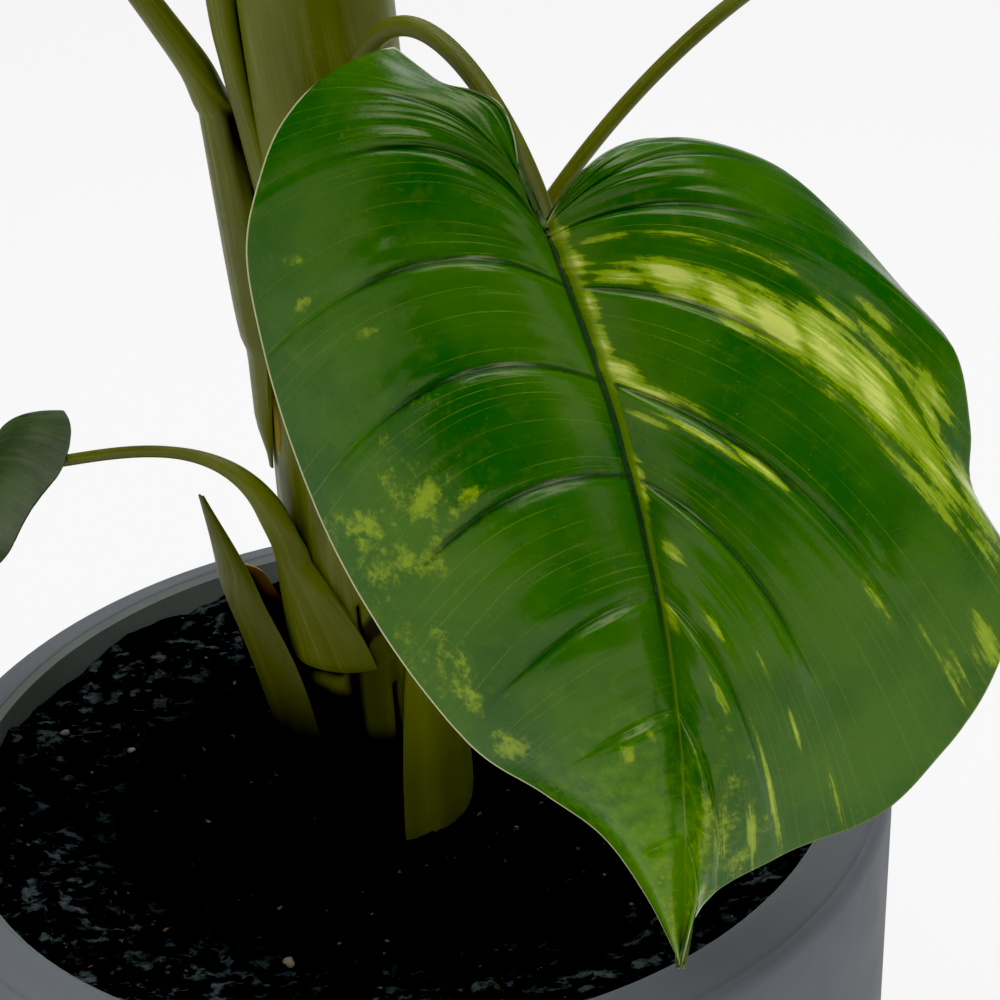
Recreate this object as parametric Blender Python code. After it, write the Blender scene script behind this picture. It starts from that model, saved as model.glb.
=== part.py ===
"""Potted elephant ear: a stem wrapped in leaf sheaths, with waved heart-shaped leaves on long stalks,
growing in dark soil in a plain round pot. Metres, +Z up, origin at the centre of the pot's underside."""

import math
import random

import bmesh
import bpy
from mathutils import Matrix, Vector, noise

# Driving dimensions
POT_RADIUS = 0.130
POT_HEIGHT = 0.240
POT_FOOT_RADIUS = 0.1225
LIP_INNER_RADIUS = 0.1168
LIP_OUTER_RADIUS = 0.1257
LIP_SLOPE_DROP = 0.0026
RIM_ROUNDING = 0.0052
LIP_INNER_ROUNDING = 0.0012
FLOOR_CORNER = 0.004
POT_FLOOR = 0.010
POT_WALL_TAPER = 0.031
POT_SIDES = 48

SOIL_TOP = 0.2290
SOIL_LUMP = 0.0022
LUMPS_PER_METRE = 95.0
SOIL_SETTLED = 0.0006
SOIL_FLAT_RADIUS = 0.034
PEBBLE_COUNT = 16
PEBBLE_RADIUS = 0.0026

TRUNK_X = -0.0055
TRUNK_FOOT = 0.172
TRUNK_TOP = 0.935
SHOOT_LENGTH = 0.062
TRUNK_RADIUS = 0.0210
TRUNK_TAPER = 0.0138
TRUNK_SIDES = 16

LEAF_LENGTH = 0.161
BLADE_THICKNESS = 0.0010
MIDRIB_BOW = 0.0093
WING_RISE = 0.0085
WING_CREST = 0.36
MARGIN_FALL = 0.0100
LOBE_FALL = 0.0100
PLEAT_DEPTH = 0.0021
MARGIN_WAVE = 0.0030
BLADE_ARCH = 0.0080
PLEATS = 9
BLADE_COLUMNS = 8
BLADE_ROWS = 18

SHEATH_THICKNESS = 0.0026
STALK_SIDES = 14
STALK_RINGS = 9
SEAT_ALONG = 0.004
GAP = 0.0003

# Basal bract, from the soil up: height, lean from the stem's axis, inner radius, half width in degrees,
# thickness
BRACT = [
    (0.2293, 0.0000, 0.0213, 42, 0.0022), (0.2480, 0.0028, 0.0212, 44, 0.0022),
    (0.2640, 0.0080, 0.0190, 50, 0.0020), (0.2790, 0.0152, 0.0150, 58, 0.0018),
    (0.2970, 0.0250, 0.0095, 66, 0.0016), (0.3120, 0.0320, 0.0042, 66, 0.0013),
    (0.3230, 0.0370, 0.0010, 60, 0.0007)]

# Upper leaves: sheath's foot, azimuth, reach of the notch, its rise over the sheath, dip, roll, size,
# mirroring
UPPER_LEAVES = [
    (0.430, 120, 0.200, 0.130, 50, 8, 1.15, -1), (0.520, 50, 0.195, 0.150, 52, -10, 1.20, 1),
    (0.575, 165, 0.185, 0.155, 48, 12, 1.10, 1), (0.625, 320, 0.190, 0.135, 50, -8, 1.15, -1),
    (0.680, 80, 0.160, 0.150, 46, 10, 1.00, 1), (0.730, 215, 0.150, 0.165, 44, -12, 0.95, -1),
    (0.785, 340, 0.130, 0.185, 46, 6, 0.82, 1)]
UPPER_SHEATH_LENGTH = 0.085

# Outline of the leaf's left and right half, from the top of the lobe to the tip: across, along
LEFT_MARGIN = [
    (-0.0232, -0.0418), (-0.0368, -0.0408), (-0.0492, -0.0318), (-0.056, -0.021), (-0.062, -0.007),
    (-0.064, 0.010), (-0.062, 0.030), (-0.058, 0.050), (-0.052, 0.069), (-0.043, 0.090),
    (-0.033, 0.107), (-0.0215, 0.118), (-0.0113, 0.129), (-0.0048, 0.143), (0.000, 0.163)]
RIGHT_MARGIN = [
    (0.026, -0.0138), (0.0374, -0.0112), (0.0512, -0.0028), (0.0624, 0.0110), (0.0722, 0.0262),
    (0.0800, 0.0418), (0.0806, 0.058), (0.079, 0.070), (0.083, 0.085), (0.081, 0.099),
    (0.0742, 0.1125), (0.0632, 0.1245), (0.0476, 0.1362), (0.026, 0.1402), (0.0110, 0.1437),
    (0.0042, 0.1512), (0.000, 0.163)]

# Side veins, from the lobe's inner edge to the tip: where each pair starts along the midrib, then for each
# half the point a vein bends towards (across, along) and where it ends on the outline, from 0 to 1
VEIN_STARTS = [0.000, 0.000, 0.002, 0.013, 0.033, 0.053, 0.078, 0.103, 0.130, 0.163]
LEFT_VEINS = [
    (-0.003, -0.024, 0.00), (-0.007, -0.035, 0.12), (-0.014, -0.034, 0.24), (-0.022, -0.010, 0.38),
    (-0.023, 0.012, 0.49), (-0.018, 0.042, 0.59), (-0.012, 0.076, 0.69), (-0.004, 0.102, 0.77),
    (-0.001, 0.130, 0.88), (0.000, 0.163, 1.00)]
RIGHT_VEINS = [
    (0.011, -0.016, 0.00), (0.026, -0.020, 0.14), (0.042, -0.012, 0.31), (0.050, 0.018, 0.52),
    (0.047, 0.050, 0.66), (0.037, 0.070, 0.76), (0.026, 0.094, 0.82), (0.016, 0.116, 0.88),
    (0.009, 0.138, 0.94), (0.000, 0.163, 1.00)]


def spline(points, t):
    """Point at t, from 0 to 1, on the smooth curve through a list of points."""
    place = min(max(t, 0.0), 1.0) * (len(points) - 1)
    index = min(int(place), len(points) - 2)
    f = place - index
    points = [Vector(p) if hasattr(p, "__len__") else Vector((p, 0.0)) for p in points]
    here, there = points[index], points[index + 1]
    before = points[index - 1] if index > 0 else 2 * here - there
    after = points[index + 2] if index + 2 < len(points) else 2 * there - here
    return 0.5 * (2 * here + (there - before) * f + (2 * before - 5 * here + 4 * there - after) * f ** 2
                  + (3 * here - before - 3 * there + after) * f ** 3)


def bezier(a, b, c, d, t):
    """Point at t on a cubic curve with four handles."""
    s = 1 - t
    return a * s ** 3 + b * (3 * s * s * t) + c * (3 * s * t * t) + d * t ** 3


def midrib(along):
    """Sideways bow and height of the midrib at a distance from the notch."""
    t = min(max(along / LEAF_LENGTH, 0.0), 1.0)
    hook = max(t - 0.8, 0.0) / 0.2
    return 4 * MIDRIB_BOW * t * (1 - t), 4 * BLADE_ARCH * t * (1 - t) - 0.004 * hook ** 2


def relief(side, q, r):
    """Height of the blade over its midrib: a gull wing, rolled lobes, pleats and a waved margin."""
    swell = math.sin(math.pi * min(max(0.06 + 0.88 * q, 0.0), 1.0)) ** 0.6
    if r < WING_CREST:
        wing = WING_RISE * swell * (1 - (1 - r / WING_CREST) ** 2)
    else:
        wing = swell * (WING_RISE - (WING_RISE + MARGIN_FALL) * ((r - WING_CREST) / (1 - WING_CREST)) ** 2)
    lobe = -LOBE_FALL * max(0.0, 1 - q / 0.32) ** 2 * r ** 1.5
    fade = min(r / (0.12 + 0.5 * max(0.0, 1 - 4 * q)), 1.0) * (1 - 0.75 * max(0.0, (r - 0.45) / 0.55))
    pleat = PLEAT_DEPTH * fade * min(1.0, (1 - q) / 0.15) * (abs(math.sin(math.pi * PLEATS * q)) ** 0.7 - 0.6)
    wave = MARGIN_WAVE * r ** 3 * math.sin(2 * math.pi * (2.6 * q + 0.25 * side)) * min(1.0, (1 - q) / 0.2)
    return wing + lobe + pleat + wave


def mould(side, q, r):
    """Point of the pattern leaf: q runs from the lobe's inner edge to the tip, r from midrib to margin."""
    margin, veins = (LEFT_MARGIN, LEFT_VEINS) if side < 0 else (RIGHT_MARGIN, RIGHT_VEINS)
    start = spline(VEIN_STARTS, q)[0]
    bend_across, bend_along, place = spline(veins, q)
    bow, height = midrib(start)
    root, bend, end = Vector((bow, start)), Vector((bend_across, bend_along)), spline(margin, place)
    across, along = root * (1 - r) ** 2 + bend * (2 * r * (1 - r)) + end * r ** 2
    height = midrib(start * (1 - r) + along * r)[1] * (1 - r * r) + height * r * r
    return across, along, height + relief(side, q, r)


class Leaf:
    """One leaf: where its notch is, where its tip points, and its size, roll, droop and mirroring."""

    def __init__(self, notch, azimuth, dip, roll=0.0, size=1.0, droop=0.0, mirror=1):
        self.notch = Vector(notch)
        a, d, r = math.radians(azimuth), math.radians(dip), math.radians(roll)
        self.length = Vector((math.cos(a) * math.cos(d), math.sin(a) * math.cos(d), -math.sin(d)))
        up = Vector((math.cos(a) * math.sin(d), math.sin(a) * math.sin(d), math.cos(d)))
        right = up.cross(self.length)
        self.across = math.cos(r) * right + math.sin(r) * up
        self.face = math.cos(r) * up - math.sin(r) * right
        self.size = size
        self.droop = droop
        self.mirror = mirror

    def place(self, across, along, height):
        """World position of a point of the pattern leaf."""
        turn = self.droop * along / LEAF_LENGTH
        if abs(self.droop) > 1e-6:
            radius = LEAF_LENGTH / self.droop
            along, sink = radius * math.sin(turn), radius * (1 - math.cos(turn))
        else:
            sink = 0.0
        along += height * math.sin(turn)
        height = height * math.cos(turn) - sink
        return self.notch + self.size * (self.across * (across * self.mirror) + self.length * along
                                         + self.face * height)

    def point(self, side, q, r):
        """World position of a point of the mould."""
        return self.place(*mould(side, q, r))


def trunk_radius(z):
    """Radius of the bare stem at a height."""
    return TRUNK_RADIUS - TRUNK_TAPER * (z - SOIL_TOP)


def around_trunk(azimuth, radius, z):
    """Point at an angle in degrees and a distance from the stem's axis."""
    a = math.radians(azimuth)
    return Vector((TRUNK_X + radius * math.cos(a), radius * math.sin(a), z))


def finish_object(name, bm, colour, roughness, sharp_angle=40):
    """Turn a bmesh's faces outward and make it an object of the scene."""
    bmesh.ops.recalc_face_normals(bm, faces=bm.faces)
    mesh = bpy.data.meshes.new(name)
    bm.to_mesh(mesh)
    bm.free()
    return add_mesh(name, mesh, colour, roughness, sharp_angle)


def add_mesh(name, mesh, colour, roughness, sharp_angle):
    """Put a mesh in the scene as an object, smooth shaded but for its sharp edges, with its own material."""
    mesh.shade_smooth()
    mesh.set_sharp_from_angle(angle=math.radians(sharp_angle))
    material = bpy.data.materials.new(name)
    material.use_nodes = True
    shader = material.node_tree.nodes["Principled BSDF"]
    shader.inputs["Base Color"].default_value = (*colour, 1.0)
    shader.inputs["Roughness"].default_value = roughness
    shader.inputs["Metallic"].default_value = 0.0
    mesh.materials.append(material)
    obj = bpy.data.objects.new(name, mesh)
    bpy.context.scene.collection.objects.link(obj)
    return obj


def turned(profile, sides):
    """Closed body turned from a profile of (radius, height) whose ends lie on the axis."""
    bm = bmesh.new()
    verts = [bm.verts.new((radius, 0.0, z)) for radius, z in profile]
    edges = [bm.edges.new(pair) for pair in zip(verts, verts[1:])]
    bmesh.ops.spin(bm, geom=verts + edges, axis=(0, 0, 1), cent=(0, 0, 0), angle=2 * math.pi, steps=sides,
                   use_merge=True, use_duplicate=False)
    bmesh.ops.remove_doubles(bm, verts=bm.verts, dist=1e-5)
    return bm


def lofted(rings):
    """Closed body extruded from ring to ring; every ring has as many points as the first."""
    bm = bmesh.new()
    spoke = bm.verts.layers.int.new("spoke")
    first = bmesh.ops.create_circle(bm, cap_ends=True, radius=1.0, segments=len(rings[0]))["verts"]
    for index, vert in enumerate(first):
        vert[spoke] = index
        vert.co = rings[0][index]
    cap = bm.faces[:]
    inner = []
    for ring in rings[1:]:
        grown = bmesh.ops.extrude_face_region(bm, geom=cap)["geom"]
        bmesh.ops.delete(bm, geom=inner, context="FACES_ONLY")
        cap = [item for item in grown if isinstance(item, bmesh.types.BMFace)]
        inner = cap
        for item in grown:
            if isinstance(item, bmesh.types.BMVert):
                item.co = ring[item[spoke]]
    bmesh.ops.triangulate(bm, faces=bm.faces)
    return bm


def wall_radius(z):
    """Inner radius of the pot's wall at a height."""
    return LIP_INNER_RADIUS - LIP_INNER_ROUNDING - POT_WALL_TAPER * (POT_HEIGHT - z)


def make_pot():
    """Round pot: flat underside, nearly upright wall, rounded edge and a rim that slopes out and down."""
    shoulder = POT_HEIGHT - LIP_SLOPE_DROP
    profile = [(0.0, 0.0), (POT_FOOT_RADIUS - 0.003, 0.0), (POT_FOOT_RADIUS, 0.003)]
    for turn in (0.0, 35.0, 70.0):
        a = math.radians(turn)
        profile.append((LIP_OUTER_RADIUS + (POT_RADIUS - LIP_OUTER_RADIUS) * math.cos(a),
                        shoulder - RIM_ROUNDING * (1 - math.sin(a))))
    profile += [(LIP_OUTER_RADIUS, shoulder), (LIP_INNER_RADIUS + LIP_INNER_ROUNDING, POT_HEIGHT),
                (LIP_INNER_RADIUS, POT_HEIGHT - 0.0008), (wall_radius(SOIL_TOP + 0.004), SOIL_TOP + 0.004),
                (wall_radius(POT_FLOOR + FLOOR_CORNER), POT_FLOOR + FLOOR_CORNER),
                (wall_radius(POT_FLOOR) - FLOOR_CORNER, POT_FLOOR), (0.0, POT_FLOOR)]
    return finish_object("pot", turned(profile, POT_SIDES), (0.115, 0.125, 0.142), 0.45)


def make_soil():
    """Soil that fills the pot, with a plain hole for the stem, a lumpy top and pebbles set in it."""
    hole = trunk_radius(TRUNK_FOOT) + 2 * GAP
    floor = POT_FLOOR + GAP
    edge = wall_radius(SOIL_TOP) - 2 * GAP
    profile = [(0.0, TRUNK_FOOT - GAP), (hole, TRUNK_FOOT - GAP), (hole, SOIL_TOP),
               (SOIL_FLAT_RADIUS, SOIL_TOP)]
    profile += [(SOIL_FLAT_RADIUS + (edge - SOIL_FLAT_RADIUS) * step / 7, SOIL_TOP) for step in range(1, 8)]
    profile += [(wall_radius(floor + FLOOR_CORNER) - 2 * GAP, floor + FLOOR_CORNER),
                (wall_radius(floor) - FLOOR_CORNER - 2 * GAP, floor), (0.0, floor)]
    bm = turned(profile, 44)
    for vert in bm.verts:
        radius = vert.co.xy.length
        if vert.co.z > TRUNK_FOOT - 2 * GAP and radius < hole + GAP:
            vert.co.x += TRUNK_X
        elif vert.co.z > SOIL_TOP - GAP and radius > SOIL_FLAT_RADIUS + GAP:
            vert.co.z += SOIL_LUMP * noise.noise(vert.co * LUMPS_PER_METRE) - SOIL_SETTLED
    soil = finish_object("soil", bm, (0.012, 0.013, 0.016), 0.85)
    fuse_pebbles(soil, edge)


def fuse_pebbles(soil, edge):
    """Small stones, half sunk, joined to the soil in one union."""
    draw = random.Random(7)
    pebbles = bpy.data.collections.new("pebbles")
    bpy.context.scene.collection.children.link(pebbles)
    for index in range(PEBBLE_COUNT):
        azimuth = 2 * math.pi * (index + draw.uniform(-0.3, 0.3)) / PEBBLE_COUNT
        distance = SOIL_FLAT_RADIUS + 0.008 + (edge - SOIL_FLAT_RADIUS - 0.016) * draw.random()
        bm = bmesh.new()
        bmesh.ops.create_icosphere(bm, subdivisions=1, radius=PEBBLE_RADIUS * draw.uniform(0.75, 1.25))
        bmesh.ops.scale(bm, vec=(1.2, 1.0, 0.75), verts=bm.verts)
        bmesh.ops.rotate(bm, matrix=Matrix.Rotation(draw.uniform(0, 6.28), 3, "Z"), verts=bm.verts)
        bmesh.ops.translate(bm, vec=(distance * math.cos(azimuth), distance * math.sin(azimuth), SOIL_TOP),
                            verts=bm.verts)
        mesh = bpy.data.meshes.new("pebble")
        bm.to_mesh(mesh)
        bm.free()
        pebbles.objects.link(bpy.data.objects.new("pebble", mesh))
    union = soil.modifiers.new("pebbles", "BOOLEAN")
    union.operation = "UNION"
    union.operand_type = "COLLECTION"
    union.collection = pebbles
    graph = bpy.context.evaluated_depsgraph_get()
    fused = bpy.data.meshes.new_from_object(soil.evaluated_get(graph))
    soil.modifiers.clear()
    soil.data = fused
    for pebble in list(pebbles.objects):
        bpy.data.objects.remove(pebble)
    bpy.data.collections.remove(pebbles)


def make_trunk():
    """Upright stem, tapering from the soil to a pointed shoot."""
    shoot = TRUNK_TOP - SHOOT_LENGTH
    heights = [(TRUNK_FOOT, 1.0), (SOIL_TOP, 1.0), (shoot, 1.0), (shoot + 0.5 * SHOOT_LENGTH, 0.74),
               (shoot + 0.85 * SHOOT_LENGTH, 0.36), (TRUNK_TOP, 0.08)]
    rings = [[around_trunk(360 * spoke / TRUNK_SIDES, trunk_radius(max(z, SOIL_TOP)) * share, z)
              for spoke in range(TRUNK_SIDES)] for z, share in heights]
    finish_object("trunk", lofted(rings), (0.105, 0.115, 0.035), 0.45)


def crescent(centre, azimuth, half_width, inner, thickness):
    """Ring of a sheath: its outer arc one way and its inner arc back, level, round a centre."""
    count = STALK_SIDES // 2
    step = 2 * half_width / (count - 1)
    inner = inner / math.cos(math.radians(step / 2))
    angles = [math.radians(azimuth - half_width + step * index) for index in range(count)]
    outer_arc = [centre + (inner + thickness) * Vector((math.cos(a), math.sin(a), 0)) for a in angles]
    inner_arc = [centre + inner * Vector((math.cos(a), math.sin(a), 0)) for a in reversed(angles)]
    return outer_arc + inner_arc


def oval(centre, side, out, half_width, half_depth):
    """Ring of a stalk, in step with a crescent's points."""
    turns = [math.radians(-90 + (index + 0.5) * 360 / STALK_SIDES) for index in range(STALK_SIDES)]
    return [centre + side * (half_width * math.sin(t)) + out * (half_depth * math.cos(t)) for t in turns]


def stalk_rings(sheath, route, widths, seat, seat_normal):
    """Rings of a leaf stalk: a sheath hugging the stem that draws in to a round stalk along a curve."""
    bottom, top, foot_azimuth, top_azimuth, half_width = sheath
    rings = []
    levels = 3 + round(abs(top_azimuth - foot_azimuth) / 15)
    for level in range(levels + 1):
        share = level / levels
        z = bottom + (top - bottom) * share
        azimuth = foot_azimuth + (top_azimuth - foot_azimuth) * share
        rings.append(crescent(Vector((TRUNK_X, 0, z)), azimuth, half_width * (1 - 0.6 * share ** 2),
                              trunk_radius(z) + GAP, SHEATH_THICKNESS * (1 + 0.7 * share ** 2)))
    a = math.radians(top_azimuth)
    side = Vector((-math.sin(a), math.cos(a), 0))
    for step in range(1, STALK_RINGS + 1):
        t = step / STALK_RINGS
        centre = bezier(*route, t)
        tangent = (bezier(*route, min(t + 0.01, 1.0)) - bezier(*route, t - 0.01)).normalized()
        side = (side - tangent * side.dot(tangent)).normalized()
        out = side.cross(tangent)
        thin = min(1.0, t / 0.45)
        half = widths[0] + (widths[1] - widths[0]) * (1 - (1 - thin) ** 2)
        ring = oval(centre, side, out, half, half * (0.72 + 0.28 * thin))
        if step == STALK_RINGS:
            ring = [p + tangent * ((seat - p).dot(seat_normal) / tangent.dot(seat_normal)) for p in ring]
        rings.append(ring)
    return rings


def stalk_seat(leaf):
    """Point just behind the blade's midrib, near the notch, where the stalk ends, and its facing."""
    point = leaf.place(*midrib_point(SEAT_ALONG))
    ahead = leaf.place(*midrib_point(SEAT_ALONG + 0.002))
    normal = (ahead - point).cross(leaf.across).normalized()
    if normal.dot(leaf.face) < 0:
        normal = -normal
    return point - normal * (BLADE_THICKNESS + GAP), normal


def midrib_point(along):
    """Point of the pattern leaf on its midrib."""
    bow, height = midrib(along)
    return bow, along, height


def make_stalk(name, leaf, sheath, leave, arrive, widths):
    """Stalk from its sheath to the back of its blade; leave and arrive are the curve's two pulls."""
    top, top_azimuth = sheath[1], sheath[3]
    seat, normal = stalk_seat(leaf)
    start = around_trunk(top_azimuth, trunk_radius(top) + GAP + SHEATH_THICKNESS * 0.85, top)
    route = (start, start + Vector(leave), seat - Vector(arrive), seat)
    rings = stalk_rings(sheath, route, widths, seat, normal)
    return finish_object(name, lofted(rings), (0.130, 0.150, 0.030), 0.40)


def make_blade(name, leaf):
    """Waved, pleated heart-shaped blade: one sheet of triangles given its thickness."""
    bm = bmesh.new()
    bmesh.ops.create_grid(bm, x_segments=BLADE_COLUMNS, y_segments=BLADE_ROWS, size=1.0)
    for vert in bm.verts:
        q = min(max((vert.co.y + 1) / 2, 0.0), 1.0)
        r = abs(vert.co.x) ** 1.2
        vert.co = leaf.point(-1 if vert.co.x < 0 else 1, q, r)
    bmesh.ops.remove_doubles(bm, verts=bm.verts, dist=2e-5)
    bmesh.ops.triangulate(bm, faces=bm.faces)
    if leaf.mirror > 0:
        bmesh.ops.reverse_faces(bm, faces=bm.faces)
    mesh = bpy.data.meshes.new(name)
    bm.to_mesh(mesh)
    bm.free()
    blade = add_mesh(name, mesh, (0.030, 0.110, 0.012), 0.32, 60)
    solid = blade.modifiers.new("thickness", "SOLIDIFY")
    solid.thickness = BLADE_THICKNESS
    solid.offset = -1.0
    return blade


def make_bract():
    """Pointed basal sheath at the stem's foot that leans out to the left."""
    rings = []
    for z, lean, inner, half_width, thickness in BRACT:
        rings.append(crescent(Vector((TRUNK_X - lean, 0.15 * -lean, z)), 190, half_width, inner, thickness))
    finish_object("basal_bract", lofted(rings), (0.120, 0.135, 0.035), 0.45)


def leaves():
    """Every leaf: its name, blade, sheath (foot, top, azimuths, half width), stalk curve and half widths."""
    yield ("leaf_01_low_left", Leaf((-0.0981, 0.0155, 0.3274), 266.4, 13.6, 24.6, 0.36, 0.10, -1),
           (0.278, 0.308, 240, 221, 34), (-0.0038, -0.0012, 0.050), (-0.0127, 0.0045, 0.0060), (0.0052, 0.0015))
    yield ("leaf_02_right", Leaf((0.214, 0.010, 0.455), 5, 55, 5, 1.0, 0.4),
           (0.2293, 0.335, -5, 3, 70), (0.034, 0.000, 0.070), (0.092, 0.004, -0.038), (0.0036, 0.0019))
    yield ("leaf_03_front", Leaf((0.044, -0.080, 0.418), 288.1, 68.1, 18),
           (0.340, 0.366, 290, 276, 27), (0.004, -0.012, 0.139), (0.004, -0.032, -0.022), (0.0034, 0.00225))
    yield ("leaf_04_left", Leaf((-0.190, 0.015, 0.560), 175, 55, -6, 1.05, 0.4, -1),
           (0.340, 0.410, 196, 182, 62), (-0.005, 0.000, 0.035), (-0.075, 0.005, -0.030), (0.0062, 0.0028))
    yield ("leaf_05_front_left", Leaf((-0.047, -0.150, 0.735), 255, 52, 8, 1.10, 0.4),
           (0.392, 0.560, 318, 255, 80), (-0.008, -0.030, 0.070), (-0.012, -0.055, -0.012), (0.0050, 0.0026))
    for index, row in enumerate(UPPER_LEAVES):
        foot, azimuth, reach, rise, dip, roll, size, mirror = row
        top = foot + UPPER_SHEATH_LENGTH
        out = around_trunk(azimuth, 1.0, 0.0) - around_trunk(azimuth, 0.0, 0.0)
        notch = around_trunk(azimuth, reach, top + rise)
        leave = out * (0.22 * reach) + Vector((0, 0, 0.5 * rise))
        arrive = out * (0.40 * reach) - Vector((0, 0, 0.12 * rise))
        yield ("leaf_%02d_upper" % (index + 6), Leaf(notch, azimuth, dip, roll, size, 0.4, mirror),
               (foot, top, azimuth, azimuth, 56), leave, arrive, (0.0048 * size, 0.0026))


def clear_scene():
    """Empty the scene of the objects it starts with."""
    for obj in list(bpy.data.objects):
        bpy.data.objects.remove(obj)


def main():
    """Build the pot, the soil, the stem and then leaf by leaf."""
    clear_scene()
    make_pot()
    make_soil()
    make_trunk()
    make_bract()
    for name, leaf, sheath, leave, arrive, widths in leaves():
        make_stalk(name + "_stalk", leaf, sheath, leave, arrive, widths)
        make_blade(name + "_blade", leaf)


if __name__ == "__main__":
    main()
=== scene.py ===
"""Finishes of a potted elephant ear: fine leaf blades with veins, pleats and yellow markings, waxy stalks and
sheaths, coarse dark soil and a satin slate pot, on a plain pale floor."""

import math
import random
from collections import Counter

import bmesh
import bpy
from mathutils import Matrix, Vector, noise


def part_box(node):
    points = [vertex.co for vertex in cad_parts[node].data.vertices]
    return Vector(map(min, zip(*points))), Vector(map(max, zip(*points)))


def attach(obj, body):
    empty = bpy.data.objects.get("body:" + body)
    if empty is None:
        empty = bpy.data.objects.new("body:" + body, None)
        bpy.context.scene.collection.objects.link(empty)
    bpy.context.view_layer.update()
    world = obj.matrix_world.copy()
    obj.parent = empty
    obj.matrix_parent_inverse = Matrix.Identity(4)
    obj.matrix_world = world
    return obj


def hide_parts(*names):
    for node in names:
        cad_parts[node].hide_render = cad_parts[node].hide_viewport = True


bl_info = {
    "name": "Potted elephant ear",
    "version": (1, 0, 0),
    "blender": (4, 5, 0),
    "location": "3D View > Sidebar > Plant",
    "description": "Fine pieces and finishes of a potted elephant ear",
    "category": "Add Mesh",
}

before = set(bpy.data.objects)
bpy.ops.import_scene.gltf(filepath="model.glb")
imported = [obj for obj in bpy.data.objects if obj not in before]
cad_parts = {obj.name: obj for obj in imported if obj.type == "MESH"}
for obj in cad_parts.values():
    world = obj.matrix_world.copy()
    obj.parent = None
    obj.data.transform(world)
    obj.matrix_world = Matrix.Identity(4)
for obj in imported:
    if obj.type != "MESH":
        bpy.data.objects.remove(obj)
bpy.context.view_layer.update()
BODY = "root"

POT_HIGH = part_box("pot")[1]
POT_RADIUS = POT_HIGH.x
POT_HEIGHT = POT_HIGH.z

# Pot: its foot and wall, the lip that slopes out and down, and the rounding under the lip, which turns
# through RIM_TURN degrees in RIM_STEPS and has a crease at one of them
POT_FOOT_RADIUS = 0.1225
POT_FOOT_ROUNDING = 0.003
POT_WALL_STEPS = 12
LIP_INNER_RADIUS = 0.1168
LIP_OUTER_RADIUS = 0.1257
LIP_EDGE = 0.0006
LIP_INNER_EDGE = 0.0012
LIP_STEPS = 5
LIP_CORNER = 0.0002
LIP_SLOPE_DROP = 0.0026
RIM_ROUNDING = 0.0052
RIM_STEPS = 9
RIM_TURN = 82
CREASE_DEPTH = 0.0007
CREASE_STEP = 7.0
CREASE_SPREAD = 1.2
POT_FLOOR = 0.010
POT_WALL_TAPER = 0.031
POT_SIDES = 160

# Soil: its level, grid and depth, how it sinks, banks up at the wall and hollows at the stem, its lumps, and
# its crumbs and pebbles, which are made a handful at a time
SOIL_TOP = 0.2290
SOIL_RINGS = 120
SOIL_SPOKES = 300
SOIL_DEPTH = 0.012
SOIL_SINK = 0.0014
SOIL_BANK = 0.0034
SOIL_HOLLOW = 0.0042
SOIL_COARSE = 0.0038
SOIL_FINE = 0.0022
CRUMB_COUNT = 900
CRUMB_SIZES = (0.0007, 0.0026)
PEBBLE_COUNT = 9
PEBBLE_SIZES = (0.0009, 0.0017)
HANDFUL = 60

# Stem, with finer rings up to DETAIL_TOP, its fold and the basal bract
TRUNK_X = -0.0055
TRUNK_TOP = 0.935
SHOOT_LENGTH = 0.062
TRUNK_RADIUS = 0.0210
TRUNK_TAPER = 0.0138
TRUNK_SIDES = 132
TRUNK_RIDGE = 0.00025
SEAM_DEPTH = 0.0010
TRUNK_SINK = 0.0004
BURN_SHARE = 0.28
DETAIL_TOP = 0.455
DETAIL_RINGS = 180
UPPER_RINGS = 110
FOLD_RINGS = 90
FOLD_SIDES = 40
BRACT_RINGS = 90
BRACT_SIDES = 56

# Pattern leaf, which every blade repeats
LEAF_LENGTH = 0.161
BLADE_THICKNESS = 0.0010
MIDRIB_BOW = 0.0093
WING_RISE = 0.0085
WING_CREST = 0.36
MARGIN_FALL = 0.0100
LOBE_FALL = 0.0100
PLEAT_DEPTH = 0.0021
MARGIN_WAVE = 0.0030
BLADE_ARCH = 0.0080
PLEATS = 9
MIDRIB_GROOVE = 0.0008
MIDRIB_WIDTH = 0.0016
VEIN_GROOVE = 0.0004
VEIN_WIDTH = 0.0008
FOLD_HEIGHT = 0.0006
MARKING_SOFTNESS = 0.7
SEAT_ALONG = 0.004

# Stalks and sheaths; the left sheath swells over a stretch of its height
SHEATH_THICKNESS = 0.0026
SHEATH_RINGS = 26
SWELLING_FOOT = 0.361
SWELLING_RISE = 0.061
CAD_STALK_RINGS = 9
GAP = 0.0003

# Studio: the camera's place and its own axes, the glow of the surroundings as light and as seen, and each
# soft light's place, target, size and power
CAMERA_PLACE = (0.03099, -0.5583, 0.6130)
CAMERA_RIGHT = (0.99756, -0.03307, -0.06142)
CAMERA_UP = (0.06976, 0.47293, 0.87833)
SENSOR_WIDTH = 36.0
GLOW_AS_LIGHT = 0.10
GLOW_AS_SEEN = 0.94
BLACK_LEVEL = 0.009
LIGHTS = {
    "overhead": ((0.0, -0.30, 1.75), (0.0, -0.25, 0.3), 1.5, 30.0),
    "back_top": ((0.1, 1.30, 1.60), (0.0, 0.0, 0.4), 1.2, 10.0),
    "left_window": ((-1.25, -0.80, 0.75), (0.0, -0.05, 0.4), 1.0, 1.9),
    "right_window": ((1.20, -0.70, 0.95), (0.0, -0.05, 0.4), 0.8, 1.6)}

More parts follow.
